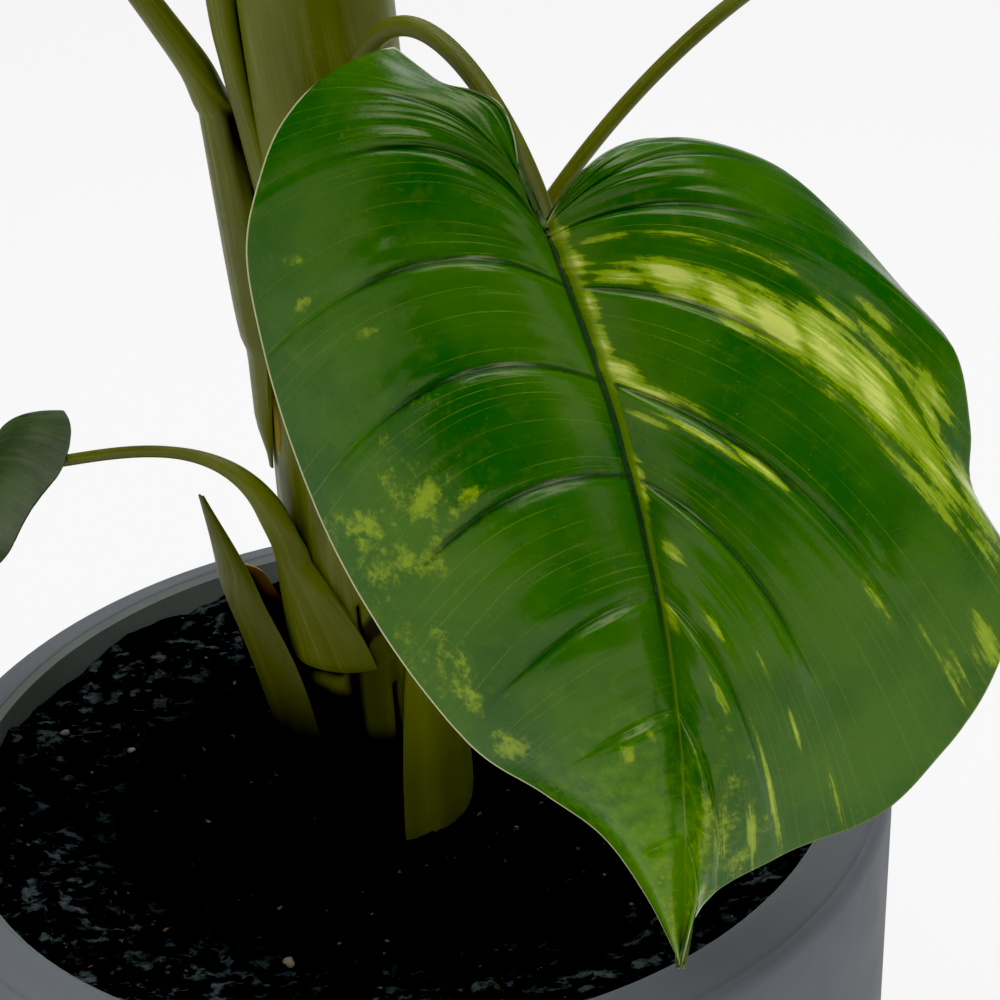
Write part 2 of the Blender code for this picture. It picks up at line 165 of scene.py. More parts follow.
# Basal bract, from the soil up: height, lean from the stem's axis, inner radius, half width in degrees,
# thickness
BRACT = [
    (0.2293, 0.0000, 0.0213, 42, 0.0022), (0.2480, 0.0028, 0.0212, 44, 0.0022),
    (0.2640, 0.0080, 0.0190, 50, 0.0020), (0.2790, 0.0152, 0.0150, 58, 0.0018),
    (0.2970, 0.0250, 0.0095, 66, 0.0016), (0.3120, 0.0320, 0.0042, 66, 0.0013),
    (0.3230, 0.0370, 0.0010, 60, 0.0007)]

# Fold up the stem's left side, from its foot: height, azimuth, distance out of the stem's surface, half
# width, half depth
STEM_FOLD = [
    (0.380, 234, -0.0014, 0.0014, 0.0009), (0.393, 231, -0.0004, 0.0026, 0.0012),
    (0.405, 227, 0.0003, 0.0032, 0.0015), (0.4205, 218, 0.0008, 0.0035, 0.0021),
    (0.434, 212, 0.0017, 0.0037, 0.0028), (0.452, 207, 0.0024, 0.0040, 0.0035),
    (0.500, 205, 0.0030, 0.0044, 0.0036), (0.560, 208, 0.0020, 0.0042, 0.0032),
    (0.620, 212, 0.0004, 0.0034, 0.0022), (0.660, 214, -0.0014, 0.0016, 0.0010)]

# Lines on the stem, from the bottom up, each point with its height, azimuth and half width: folds, dented
# and darkened with painted shade, brown edges, and lit sheath edges that the foot's painted shade leaves out
STEM_SHADED_FOLDS = [
    [(0.366, 214, 0.0006), (0.390, 217, 0.0014), (0.403, 215, 0.0018), (0.4205, 204, 0.0020),
     (0.440, 196, 0.0024)],
    [(0.400, 240, 0.0004), (0.4165, 232, 0.0006), (0.434, 225, 0.0009), (0.447, 219, 0.0018),
     (0.470, 217, 0.0016)],
    [(0.3345, 208, 0.0004), (0.341, 209, 0.0009), (0.3505, 207, 0.0007), (0.360, 206, 0.0003)],
    [(0.286, 265, 0.0004), (0.291, 267, 0.0008), (0.2955, 268, 0.0004)],
    [(0.431, 295, 0.0014), (0.438, 296, 0.0028), (0.449, 295, 0.0012)],
    [(0.2293, 289, 0.0010), (0.250, 290, 0.0010), (0.272, 290, 0.0006)]]
STEM_BROWN = [
    [(0.3335, 206, 0.0008), (0.341, 206, 0.0016), (0.352, 204, 0.0012), (0.361, 204, 0.0006)],
    [(0.395, 241, 0.0010), (0.4165, 233, 0.0011), (0.434, 226, 0.0010)]]
STEM_THREADS = [
    [(0.2310, 224, 0.0009), (0.2330, 223, 0.0007), (0.246, 212, 0.0005), (0.257, 208, 0.0006)],
    [(0.2330, 223, 0.0007), (0.242, 232, 0.0007), (0.252, 239, 0.0006)]]

# Painted shade at the stem's foot: azimuths that it spans, height of the old sheath's rim and of the shade's
# upper edge
FOOT_SHADE_FROM, FOOT_SHADE_TO = 205, 292
FOOT_SHADE_RIM = 0.2763
FOOT_SHADE_EDGE = 0.2708

# Upper leaves: sheath's foot, azimuth, reach of the notch, its rise over the sheath, dip, roll, size,
# mirroring
UPPER_LEAVES = [
    (0.430, 120, 0.200, 0.130, 50, 8, 1.15, -1), (0.520, 50, 0.195, 0.150, 52, -10, 1.20, 1),
    (0.575, 165, 0.185, 0.155, 48, 12, 1.10, 1), (0.625, 320, 0.190, 0.135, 50, -8, 1.15, -1),
    (0.680, 80, 0.160, 0.150, 46, 10, 1.00, 1), (0.730, 215, 0.150, 0.165, 44, -12, 0.95, -1),
    (0.785, 340, 0.130, 0.185, 46, 6, 0.82, 1)]
UPPER_SHEATH_LENGTH = 0.085

# Finer forms of three stalks: sheath (foot, top, azimuths, half width), way out of the sheath, half widths,
# and how far the sheath swells towards its top
STALK_FORMS = {
    "leaf_01_low_left": ((0.278, 0.308, 240, 221, 37), (-0.0055, -0.0012, 0.0525), (0.0063, 0.0015), 0.0),
    "leaf_02_right": ((SOIL_TOP - 0.0045, 0.335, -5, 3, 70), (0.031, 0.000, 0.0775), (0.0036, 0.0019), 0.0),
    "leaf_04_left": ((0.329, 0.4215, 193, 186, 27), (-0.0147, -0.001, 0.0275), (0.0062, 0.0028), 0.0038)}

# Painted light at the foot of the right sheath, brightest along a band: its azimuth and half width in degrees
STUB_LIGHT_BAND = 305
STUB_LIGHT_BAND_WIDTH = 7

# Cleft between the left sheath and the stem's fold: heights where its dark starts, narrows and ends, the
# azimuth where it starts at the sheath's top, and degrees that it moves round for each metre down
CLEFT_FOOT = 0.398
CLEFT_NARROWS = 0.410
CLEFT_TOP = 0.4215
CLEFT_AZIMUTH = 203.8
CLEFT_TURN = 415
CLEFT_WIDENING = 170

# Outline of the leaf's left and right half, from the top of the lobe to the tip: across, along
LEFT_MARGIN = [
    (-0.0240, -0.0427), (-0.0368, -0.0410), (-0.0490, -0.0320), (-0.0563, -0.021), (-0.062, -0.007),
    (-0.063, 0.010), (-0.0617, 0.030), (-0.058, 0.050), (-0.052, 0.069), (-0.043, 0.090),
    (-0.0333, 0.1072), (-0.0215, 0.1185), (-0.0112, 0.129), (-0.0046, 0.1435), (0.000, 0.161)]
RIGHT_MARGIN = [
    (0.026, -0.0140), (0.037, -0.0113), (0.0508, -0.003), (0.0622, 0.011), (0.0717, 0.0263),
    (0.0804, 0.0413), (0.0808, 0.058), (0.0788, 0.070), (0.0835, 0.085), (0.0814, 0.0995),
    (0.0743, 0.1125), (0.0632, 0.1243), (0.0475, 0.1362), (0.0262, 0.140), (0.0110, 0.1437),
    (0.0040, 0.1515), (0.000, 0.161)]

# Inner edge of the left lobe, from the notch to the top of the lobe: across, along
LOBE_EDGE = [
    (0.0000, 0.0000), (-0.0019, -0.0062), (-0.0028, -0.0126), (-0.0026, -0.0200), (-0.0042, -0.0265),
    (-0.0090, -0.0303), (-0.0150, -0.0330), (-0.0190, -0.0370), (-0.0240, -0.0427)]

# Side veins, from the lobe's inner edge to the tip: where each pair starts along the midrib, then for each
# half the point a vein bends towards (across, along) and where it ends on the outline, from 0 to 1
VEIN_STARTS = [0.000, 0.000, 0.002, 0.013, 0.033, 0.053, 0.078, 0.103, 0.130, 0.161]
LEFT_VEINS = [
    (-0.003, -0.024, 0.00), (-0.007, -0.035, 0.12), (-0.014, -0.034, 0.24), (-0.022, -0.010, 0.38),
    (-0.023, 0.012, 0.49), (-0.018, 0.042, 0.59), (-0.012, 0.076, 0.69), (-0.004, 0.102, 0.77),
    (-0.001, 0.130, 0.88), (0.000, 0.161, 1.00)]
RIGHT_VEINS = [
    (0.011, -0.016, 0.00), (0.026, -0.020, 0.14), (0.042, -0.012, 0.31), (0.050, 0.018, 0.52),
    (0.047, 0.050, 0.66), (0.037, 0.070, 0.76), (0.026, 0.094, 0.82), (0.016, 0.116, 0.88),
    (0.009, 0.138, 0.94), (0.000, 0.161, 1.00)]

# Small bulges of the pattern leaf beside its pleats: half (-1 left, 1 right), place between lobe and tip,
# place between midrib and margin, half size each way, height
BULGES = [
    (-1, 0.208, 0.60, 0.014, 0.11, 0.0017), (-1, 0.318, 0.66, 0.015, 0.10, 0.0020),
    (-1, 0.428, 0.62, 0.015, 0.11, 0.0020), (-1, 0.538, 0.60, 0.015, 0.12, 0.0018),
    (-1, 0.645, 0.50, 0.014, 0.13, 0.0015), (1, 0.572, 0.64, 0.007, 0.07, 0.0016),
    (1, 0.437, 0.70, 0.008, 0.06, 0.0018), (1, 0.566, 0.20, 0.008, 0.10, 0.0010),
    (1, 0.680, 0.22, 0.009, 0.10, 0.0010), (1, 0.790, 0.30, 0.010, 0.12, 0.0009)]

# Yellow markings on the pattern leaf: half (-1 left, 1 right), place between lobe and tip, place between
# midrib and margin, half length towards the tip, half length towards the margin, strength; a streak's
# strength is above 0 and a patch's below
MARKINGS = [
    # Beside the midrib, near the notch
    (1, 0.225, 0.02, 0.03, 0.03, 1.3), (1, 0.292, 0.03, 0.03, 0.03, 1.2), (1, 0.35, 0.03, 0.03, 0.022, 1.1),
    (1, 0.4, 0.03, 0.035, 0.022, 1.1),
    # Wide band across the right half
    (1, 0.317, 0.12, 0.014, 0.07, 1.15), (1, 0.314, 0.24, 0.018, 0.08, 1.4),
    (1, 0.317, 0.35, 0.02, 0.07, 1.4), (1, 0.315, 0.46, 0.024, 0.08, 1.42),
    (1, 0.316, 0.57, 0.027, 0.07, 1.32), (1, 0.318, 0.68, 0.032, 0.09, 1.2),
    (1, 0.316, 0.8, 0.038, 0.09, 1.0), (1, 0.308, 0.92, 0.036, 0.08, 0.85),
    # Streaks along the wide band
    (1, 0.297, 0.22, 0.007, 0.1, 1.15), (1, 0.299, 0.4, 0.008, 0.1, 1.0),
    (1, 0.286, 0.62, 0.012, 0.12, 0.8), (1, 0.262, 0.12, 0.008, 0.08, 0.9),
    (1, 0.262, 0.28, 0.008, 0.12, 0.8), (1, 0.259, 0.52, 0.01, 0.16, 0.7),
    (1, 0.268, 0.78, 0.016, 0.14, 0.7), (1, 0.352, 0.78, 0.01, 0.14, 0.85),
    (1, 0.34, 0.93, 0.02, 0.06, 0.8), (1, 0.272, 0.66, 0.007, 0.06, 1.15),
    (1, 0.286, 0.75, 0.008, 0.06, 1.2), (1, 0.262, 0.9, 0.012, 0.06, 1.05),
    (1, 0.28, 0.88, 0.01, 0.05, 1.2), (1, 0.3, 0.97, 0.02, 0.04, 1.15), (1, 0.25, 0.76, 0.008, 0.07, 1.0),
    # Short band below it, from the midrib
    (1, 0.425, 0.05, 0.014, 0.05, 1.25), (1, 0.438, 0.1, 0.008, 0.08, 1.35),
    (1, 0.433, 0.2, 0.005, 0.06, 0.9), (1, 0.472, 0.08, 0.005, 0.06, 1.05),
    (1, 0.46, 0.22, 0.0055, 0.12, 1.3), (1, 0.452, 0.38, 0.006, 0.08, 1.05),
    # Streaks near the right margin
    (1, 0.392, 0.97, 0.014, 0.06, 0.95), (1, 0.433, 0.93, 0.012, 0.08, 0.7),
    (1, 0.436, 0.84, 0.008, 0.08, 0.7), (1, 0.458, 0.72, 0.006, 0.1, 0.66),
    # Streaks between the wide band and the tip
    (1, 0.608, 0.55, 0.0035, 0.05, 1.1), (1, 0.6, 0.75, 0.0045, 0.06, 1.08),
    (1, 0.577, 0.92, 0.0045, 0.09, 1.02), (1, 0.658, 0.8, 0.0055, 0.2, 1.08),
    (1, 0.7, 0.88, 0.01, 0.12, 0.95), (1, 0.775, 0.75, 0.03, 0.25, 0.7), (1, 0.64, 0.3, 0.006, 0.12, 0.95),
    (1, 0.69, 0.4, 0.008, 0.14, 0.8),
    # Beside the midrib, towards the tip
    (1, 0.61, 0.1, 0.01, 0.06, 1.1), (1, 0.68, 0.06, 0.014, 0.06, 1.0), (1, 0.56, 0.03, 0.04, 0.02, 1.0),
    # Haze on the right half, towards the tip
    (1, 0.85, 0.55, 0.085, 0.55, -0.86), (1, 0.735, 0.8, 0.06, 0.3, -0.76),
    (1, 0.93, 0.2, 0.06, 0.4, -0.84),
    # Patches on the left half
    (-1, 0.505, 0.9, 0.022, 0.06, -1.05), (-1, 0.532, 0.92, 0.016, 0.04, -1.1),
    (-1, 0.52, 0.72, 0.012, 0.09, -1.0), (-1, 0.535, 0.57, 0.008, 0.05, -1.0),
    (-1, 0.55, 0.72, 0.012, 0.06, -0.95), (-1, 0.482, 0.95, 0.016, 0.04, -0.9),
    (-1, 0.292, 0.88, 0.01, 0.04, -0.8), (-1, 0.32, 0.86, 0.006, 0.05, -0.9),
    (-1, 0.372, 0.7, 0.006, 0.04, -0.8), (-1, 0.358, 0.63, 0.006, 0.03, -0.85),
    (-1, 0.44, 0.66, 0.006, 0.03, -0.8), (-1, 0.717, 0.9, 0.022, 0.06, -1.15),
    (-1, 0.575, 0.95, 0.06, 0.05, -0.76), (-1, 0.8, 0.43, 0.01, 0.05, -0.95),
    (-1, 0.792, 0.22, 0.01, 0.04, -0.9), (-1, 0.63, 0.88, 0.04, 0.08, -0.72),
    (-1, 0.52, 0.8, 0.07, 0.25, -0.66), (-1, 0.93, 0.5, 0.06, 0.5, -0.76)]


class PlantSizes(bpy.types.PropertyGroup):
    """Finish sizes of the plant that a user would change."""

    front_rows: bpy.props.IntProperty(
        name="Front blade rows", description="Rows of faces from lobe to tip on the front leaf", default=198)
    front_columns: bpy.props.IntProperty(
        name="Front blade columns", description="Columns of faces across the front leaf", default=104)
    other_rows: bpy.props.IntProperty(
        name="Other blade rows", description="Rows of faces from lobe to tip on each other leaf",
        default=117)
    other_columns: bpy.props.IntProperty(
        name="Other blade columns", description="Columns of faces across the other leaves", default=52)
    stalk_sides: bpy.props.IntProperty(
        name="Stalk sides", description="Faces round a leaf stalk", default=40)
    stalk_rings: bpy.props.IntProperty(
        name="Stalk rings", description="Rings along a leaf stalk above its sheath", default=72)
    camera_lens: bpy.props.FloatProperty(
        name="Lens", description="Focal length of the camera", unit="CAMERA", default=90.0)
    floor_glow: bpy.props.FloatProperty(
        name="Floor glow", description="Even light that the pale floor gives off", default=0.855)


class PlantColours(bpy.types.PropertyGroup):
    """Colours of the plant, its soil and its pot."""

    leaf_deep: bpy.props.FloatVectorProperty(
        name="Leaf, deep", description="Deep green of the blade", subtype="COLOR", size=3,
        default=(0.009, 0.095, 0.0008))
    leaf_light: bpy.props.FloatVectorProperty(
        name="Leaf, light", description="Lighter green of the blade", subtype="COLOR", size=3,
        default=(0.042, 0.150, 0.002))
    leaf_marking: bpy.props.FloatVectorProperty(
        name="Marking", description="Yellow-green of the markings", subtype="COLOR", size=3,
        default=(0.270, 0.410, 0.012))
    leaf_pale: bpy.props.FloatVectorProperty(
        name="Marking, pale", description="Pale centre of the strongest markings", subtype="COLOR", size=3,
        default=(0.640, 0.720, 0.150))
    leaf_back: bpy.props.FloatVectorProperty(
        name="Leaf back", description="Dull green of the back of the blade", subtype="COLOR", size=3,
        default=(0.070, 0.130, 0.025))
    leaf_edge: bpy.props.FloatVectorProperty(
        name="Leaf edge", description="Cream of the blade's cut edge", subtype="COLOR", size=3,
        default=(0.560, 0.580, 0.330))
    stem: bpy.props.FloatVectorProperty(
        name="Stem", description="Olive of stem, sheaths and stalks", subtype="COLOR", size=3,
        default=(0.125, 0.140, 0.004))
    soil: bpy.props.FloatVectorProperty(
        name="Soil", description="Near black of the potting mix", subtype="COLOR", size=3,
        default=(0.0012, 0.0013, 0.0015))
    pot: bpy.props.FloatVectorProperty(
        name="Pot", description="Slate grey of the pot", subtype="COLOR", size=3,
        default=(0.158, 0.172, 0.190))
    floor: bpy.props.FloatVectorProperty(
        name="Floor", description="Pale floor", subtype="COLOR", size=3,
        default=(0.100, 0.100, 0.100))


def neighbours(rows, t):
    """Four rows of a list around t, from 0 to 1, with the second one's index and how far t lies past it."""
    place = min(max(t, 0.0), 1.0) * (len(rows) - 1)
    index = min(int(place), len(rows) - 2)
    near = [rows[min(max(k, 0), len(rows) - 1)] for k in range(index - 1, index + 3)]
    return near, index, place - index


def between(before, here, there, after, f):
    """Value at a share f of the way from here to there, on the smooth curve through all four."""
    return 0.5 * (2 * here + (there - before) * f + (2 * before - 5 * here + 4 * there - after) * f ** 2
                  + (3 * here - before - 3 * there + after) * f ** 3)


def spline(points, t):
    """Point at t, from 0 to 1, on the smooth curve through a list of points or numbers."""
    near, index, f = neighbours(points, t)
    before, here, there, after = [Vector(p) if hasattr(p, "__len__") else Vector((p, 0.0)) for p in near]
    if index == 0:
        before = 2 * here - there
    if index + 2 >= len(points):
        after = 2 * there - here
    return between(before, here, there, after, f)


def smooth_row(table, t):
    """Smooth row of a table of numbers at t, from 0 to 1."""
    near, _, f = neighbours(table, t)
    return [between(*column, f) for column in zip(*near)]


def bezier(a, b, c, d, t):
    """Point at t on a cubic curve with four handles."""
    s = 1 - t
    return a * s ** 3 + b * (3 * s * s * t) + c * (3 * s * t * t) + d * t ** 3


def smooth(low, high, value):
    """Rise from 0 to 1 between low and high, with no corners."""
    t = min(max((value - low) / (high - low), 0.0), 1.0)
    return t * t * (3 - 2 * t)


def midrib(along):
    """Sideways bow and height of the midrib at a distance from the notch."""
    t = min(max(along / LEAF_LENGTH, 0.0), 1.0)
    hook = max(t - 0.8, 0.0) / 0.2
    return 4 * MIDRIB_BOW * t * (1 - t), 4 * BLADE_ARCH * t * (1 - t) - 0.004 * hook ** 2


def pleat_shape(q):
    """Height of a pleat from 0 in its groove to 1 on its crest, which stands close behind the groove."""
    place = (PLEATS * q) % 1.0
    return 1.15 * (1 - math.exp(-place / 0.045)) * (1 - place) ** 0.9


def wing_height(q, r):
    """Height of the gull wing: up from the midrib to its crest, then down to the margin, flat at the tip."""
    swell = math.sin(math.pi * min(max(0.06 + 0.88 * q, 0.0), 1.0)) ** 0.6
    if r < WING_CREST:
        wing = WING_RISE * swell * (1 - (1 - r / WING_CREST) ** 2)
    else:
        past_crest = (r - WING_CREST) / (1 - WING_CREST)
        wing = swell * (WING_RISE - (WING_RISE + MARGIN_FALL) * past_crest ** 2)
    return wing * (1 - 0.92 * smooth(0.62, 0.92, q) * (1 - r))


def ripple_height(side, q, r):
    """Height of the fine folds between the veins, strongest near the top of the lobe."""
    folds = noise.noise(Vector((62 * q, 1.6 * r, 5.0 * side)))
    folds += 0.5 * noise.noise(Vector((150 * q, 3.0 * r, side)))
    near_lobe = 1 + 1.6 * max(0.0, 1 - q / 0.12)
    inside = smooth(0.03, 0.22, r) * (1 - 0.7 * smooth(0.6, 1.0, r))
    return FOLD_HEIGHT * folds * near_lobe * inside * (1 - 0.6 * q)


def bulge_height(side, q, r):
    """Height of the small bulges."""
    bulge = 0.0
    for bulge_side, bulge_q, bulge_r, half_q, half_r, height in BULGES:
        if bulge_side == side and abs(q - bulge_q) < 3 * half_q:
            bulge += height * math.exp(-((q - bulge_q) / half_q) ** 2 - ((r - bulge_r) / half_r) ** 2)
    return bulge


def relief(side, q, r, reach):
    """Height of the blade over its midrib: wing, rolled lobe, pleats, grooves, folds and a waved margin."""
    lobe = -LOBE_FALL * max(0.0, 1 - q / 0.32) ** 2 * r ** 1.5
    fade = min(r / (0.12 + 0.5 * max(0.0, 1 - 4 * q)), 1.0) * (1 - 0.85 * smooth(0.45, 0.95, r))
    pleat = PLEAT_DEPTH * fade * min(1.0, (1 - q) / 0.30) * (pleat_shape(q) - 0.6)
    tip_fade = min(1.0, (1 - q) / 0.2)
    wave = MARGIN_WAVE * r ** 3 * math.sin(2 * math.pi * (2.6 * q + 0.25 * side)) * tip_fade
    groove = -MIDRIB_GROOVE * math.exp(-(r * reach / MIDRIB_WIDTH) ** 2) * smooth(0.0, 0.2, q) * (1 - q)
    off_vein = abs((PLEATS * q + 0.5) % 1.0 - 0.5) / PLEATS * LEAF_LENGTH
    vein = -VEIN_GROOVE * math.exp(-(off_vein / VEIN_WIDTH) ** 2)
    vein *= smooth(0.02, 0.10, r) * (1 - smooth(0.5, 0.8, r)) * tip_fade
    ripple = ripple_height(side, q, r)
    return wing_height(q, r) + lobe + pleat + wave + groove + vein + ripple + bulge_height(side, q, r)


class VeinRow:
    """One line from midrib to margin on the pattern leaf."""

    def __init__(self, side, q):
        margin, veins = (LEFT_MARGIN, LEFT_VEINS) if side < 0 else (RIGHT_MARGIN, RIGHT_VEINS)
        self.side, self.q = side, q
        self.start = spline(VEIN_STARTS, q)[0]
        bend_across, bend_along, place = spline(veins, q)
        bow, self.rib_height = midrib(self.start)
        self.root, self.bend = Vector((bow, self.start)), Vector((bend_across, bend_along))
        self.end = spline(margin, place)
        self.reach = (self.bend - self.root).length + (self.end - self.bend).length

    def point(self, r):
        """Across, along and height at a share r of the way from midrib to margin."""
        place = self.root * (1 - r) ** 2 + self.bend * (2 * r * (1 - r)) + self.end * r ** 2
        if self.side < 0 and self.q < 0.11:
            place = spline(LOBE_EDGE, r).to_2d().lerp(place, smooth(0.0, 0.11, self.q))
        across, along = place
        ahead = midrib(self.start * (1 - r) + along * r)[1]
        height = ahead * (1 - r * r) + self.rib_height * r * r
        return across, along, height + relief(self.side, self.q, r, self.reach)


class Leaf:
    """One leaf: where its notch is, where its tip points, and its size, roll, droop and mirroring."""

    def __init__(self, notch, azimuth, dip, roll=0.0, size=1.0, droop=0.0, mirror=1):
        self.notch = Vector(notch)
        a, d, r = math.radians(azimuth), math.radians(dip), math.radians(roll)
        self.length = Vector((math.cos(a) * math.cos(d), math.sin(a) * math.cos(d), -math.sin(d)))
        up = Vector((math.cos(a) * math.sin(d), math.sin(a) * math.sin(d), math.cos(d)))
        right = up.cross(self.length)
        self.across = math.cos(r) * right + math.sin(r) * up
        self.face = math.cos(r) * up - math.sin(r) * right
        self.size = size
        self.droop = droop
        self.mirror = mirror

    def place(self, across, along, height):
        """World position of a point of the pattern leaf."""
        turn = self.droop * along / LEAF_LENGTH
        sink = 0.0
        if abs(self.droop) > 1e-6:
            radius = LEAF_LENGTH / self.droop
            along, sink = radius * math.sin(turn), radius * (1 - math.cos(turn))
        along += height * math.sin(turn)
        height = height * math.cos(turn) - sink
        return self.notch + self.size * (self.across * (across * self.mirror) + self.length * along
                                         + self.face * height)


def trunk_radius(z):
    """Radius of the bare stem at a height."""
    return TRUNK_RADIUS - TRUNK_TAPER * (z - SOIL_TOP)


def outward(azimuth):
    """Direction away from the stem at an angle in degrees."""
    a = math.radians(azimuth)
    return Vector((math.cos(a), math.sin(a), 0))


def sideways(azimuth):
    """Direction round the stem at an angle in degrees."""
    a = math.radians(azimuth)
    return Vector((-math.sin(a), math.cos(a), 0))


def around_trunk(azimuth, radius, z):
    """Point at an angle in degrees and a distance from the stem's axis."""
    a = math.radians(azimuth)
    return Vector((TRUNK_X + radius * math.cos(a), radius * math.sin(a), z))


def wall_radius(z):
    """Inner radius of the pot's wall at a height."""
    return LIP_INNER_RADIUS - LIP_INNER_EDGE - POT_WALL_TAPER * (POT_HEIGHT - z)


def leaves():
    """Every leaf: its name, blade, sheath (foot, top, azimuths, half width), stalk curve and half widths."""
    yield ("leaf_01_low_left", Leaf((-0.0981, 0.0155, 0.3274), 266.4, 13.6, 24.6, 0.36, 0.10, -1),
           (0.278, 0.308, 240, 221, 34), (-0.0038, -0.0012, 0.050), (-0.0127, 0.0045, 0.0060),
           (0.0052, 0.0015))
    yield ("leaf_02_right", Leaf((0.214, 0.010, 0.455), 5, 55, 5, 1.0, 0.4),
           (0.2293, 0.335, -5, 3, 70), (0.034, 0.000, 0.070), (0.092, 0.004, -0.038), (0.0036, 0.0019))
    yield ("leaf_03_front", Leaf((0.044, -0.080, 0.418), 288.1, 68.1, 18),
           (0.340, 0.366, 290, 276, 27), (0.004, -0.012, 0.139), (0.004, -0.032, -0.022), (0.0034, 0.00225))
    yield ("leaf_04_left", Leaf((-0.190, 0.015, 0.560), 175, 55, -6, 1.05, 0.4, -1),
           (0.340, 0.4275, 196, 184, 34), (-0.016, 0.000, 0.028), (-0.075, 0.005, -0.030), (0.0062, 0.0028))
    yield ("leaf_05_front_left", Leaf((-0.047, -0.150, 0.735), 255, 52, 8, 1.10, 0.4),
           (0.392, 0.560, 318, 255, 80), (-0.008, -0.030, 0.070), (-0.012, -0.055, -0.012), (0.0050, 0.0026))
    for index, row in enumerate(UPPER_LEAVES):
        foot, azimuth, reach, rise, dip, roll, size, mirror = row
        top = foot + UPPER_SHEATH_LENGTH
        out = outward(azimuth)
        notch = around_trunk(azimuth, reach, top + rise)
        leave = out * (0.22 * reach) + Vector((0, 0, 0.5 * rise))
        arrive = out * (0.40 * reach) - Vector((0, 0, 0.12 * rise))
        yield ("leaf_%02d_upper" % (index + 6), Leaf(notch, azimuth, dip, roll, size, 0.4, mirror),
               (foot, top, azimuth, azimuth, 56), leave, arrive, (0.0048 * size, 0.0026))


class Recipe:
    """The nodes of one material, added in short calls."""

    def __init__(self, name, roughness, specular):
        self.material = bpy.data.materials.new(name)
        self.material.use_nodes = True
        self.nodes = self.material.node_tree.nodes
        self.links = self.material.node_tree.links
        self.shader = self.nodes["Principled BSDF"]
        self.shader.inputs["Roughness"].default_value = roughness
        self.shader.inputs["Specular IOR Level"].default_value = specular

    def feed(self, socket, value):
        """Give a socket a number, a colour or another node's output."""
        if isinstance(value, bpy.types.NodeSocket):
            self.links.new(value, socket)
        elif hasattr(value, "__len__") and len(value) == 3 and socket.type == "RGBA":
            socket.default_value = (*value, 1.0)
        else:
            socket.default_value = value

    def node(self, kind, values=None, **settings):
        """A node of a kind, with its settings and the values of its sockets."""
        node = self.nodes.new("ShaderNode" + kind)
        for name, value in settings.items():
            setattr(node, name, value)
        for key, value in (values or {}).items():
            self.feed(node.inputs[key], value)
        return node

    def math(self, operation, a, b=0.0):
        """A sum on one or two numbers."""
        return self.node("Math", {0: a, 1: b}, operation=operation).outputs[0]

    def plus(self, a, b):
        """One number plus another."""
        return self.math("ADD", a, b)

    def minus(self, a, b):
        """One number less another."""
        return self.math("SUBTRACT", a, b)

    def times(self, a, *factors):
        """A number times one or more others."""
        for factor in factors:
            a = self.math("MULTIPLY", a, factor)
        return a

    def from_line(self, value):
        """Distance of a number from the nearest one that ends in a half, from 0 to 0.5."""
        return self.math("ABSOLUTE", self.minus(self.math("FRACT", value), 0.5))

    def from_vein(self, towards_tip):
        """Distance from the nearest side vein, in spaces between veins."""
        return self.from_line(self.plus(self.times(towards_tip, float(PLEATS)), 0.5))

    def from_axis(self, x, y):
        """Distance from the pot's axis."""
        return self.math("SQRT", self.plus(self.times(x, x), self.times(y, y)))

    def object_place(self):
        """Place on the piece, in metres."""
        return self.node("TexCoord").outputs["Object"]

    def uv(self, name):
        """A named UV map of the piece."""
        return self.node("UVMap", uv_map=name).outputs[0]

    def value(self, name):
        """A number kept at each point of the piece."""
        return self.node("Attribute", attribute_name=name).outputs["Fac"]

    def stretched(self, vector, scale):
        """A place stretched by a factor on each axis."""
        return self.node("Mapping", {"Vector": vector, "Scale": scale}).outputs[0]

    def noise(self, vector, scale, detail=3.0, roughness=0.55):
        """Soft noise from 0 to 1."""
        return self.node("TexNoise", {"Vector": vector, "Scale": scale, "Detail": detail,
                                      "Roughness": roughness}).outputs["Fac"]

    def rise(self, value, low, high, top=1.0, bottom=0.0):
        """Smooth step of a value between two limits."""
        return self.node("MapRange", {"Value": value, "From Min": low, "From Max": high, "To Min": bottom,
                                      "To Max": top}, interpolation_type="SMOOTHSTEP").outputs[0]

    def mix(self, factor, a, b):
        """One colour over another."""
        node = self.node("Mix", data_type="RGBA")
        self.feed(node.inputs["Factor"], factor)
        self.feed(node.inputs[6], a)
        self.feed(node.inputs[7], b)
        return node.outputs[2]

    def bump(self, height, distance, strength=1.0):
        """Fine relief on the surface."""
        node = self.node("Bump", {"Height": height, "Distance": distance, "Strength": strength})
        self.links.new(node.outputs[0], self.shader.inputs["Normal"])

    def finish(self, colour, roughness=None):
        """Set the colour, and where it varies the roughness."""
        self.feed(self.shader.inputs["Base Color"], colour)
        if roughness is not None:
            self.feed(self.shader.inputs["Roughness"], roughness)
        return self.material


def tint(colour, factor):
    """A colour made lighter or darker."""
    return tuple(channel * factor for channel in colour)


def leaf_green(leaf, colours, place, mottle):
    """Mottled green ground of a blade."""
    patches = leaf.rise(leaf.noise(place, 28.0, 3.0), 0.35, 0.68)
    ground = leaf.mix(patches, colours.leaf_deep, colours.leaf_light)
    return leaf.mix(leaf.rise(mottle, 0.50, 0.75, 0.45), ground, (0.070, 0.160, 0.002))


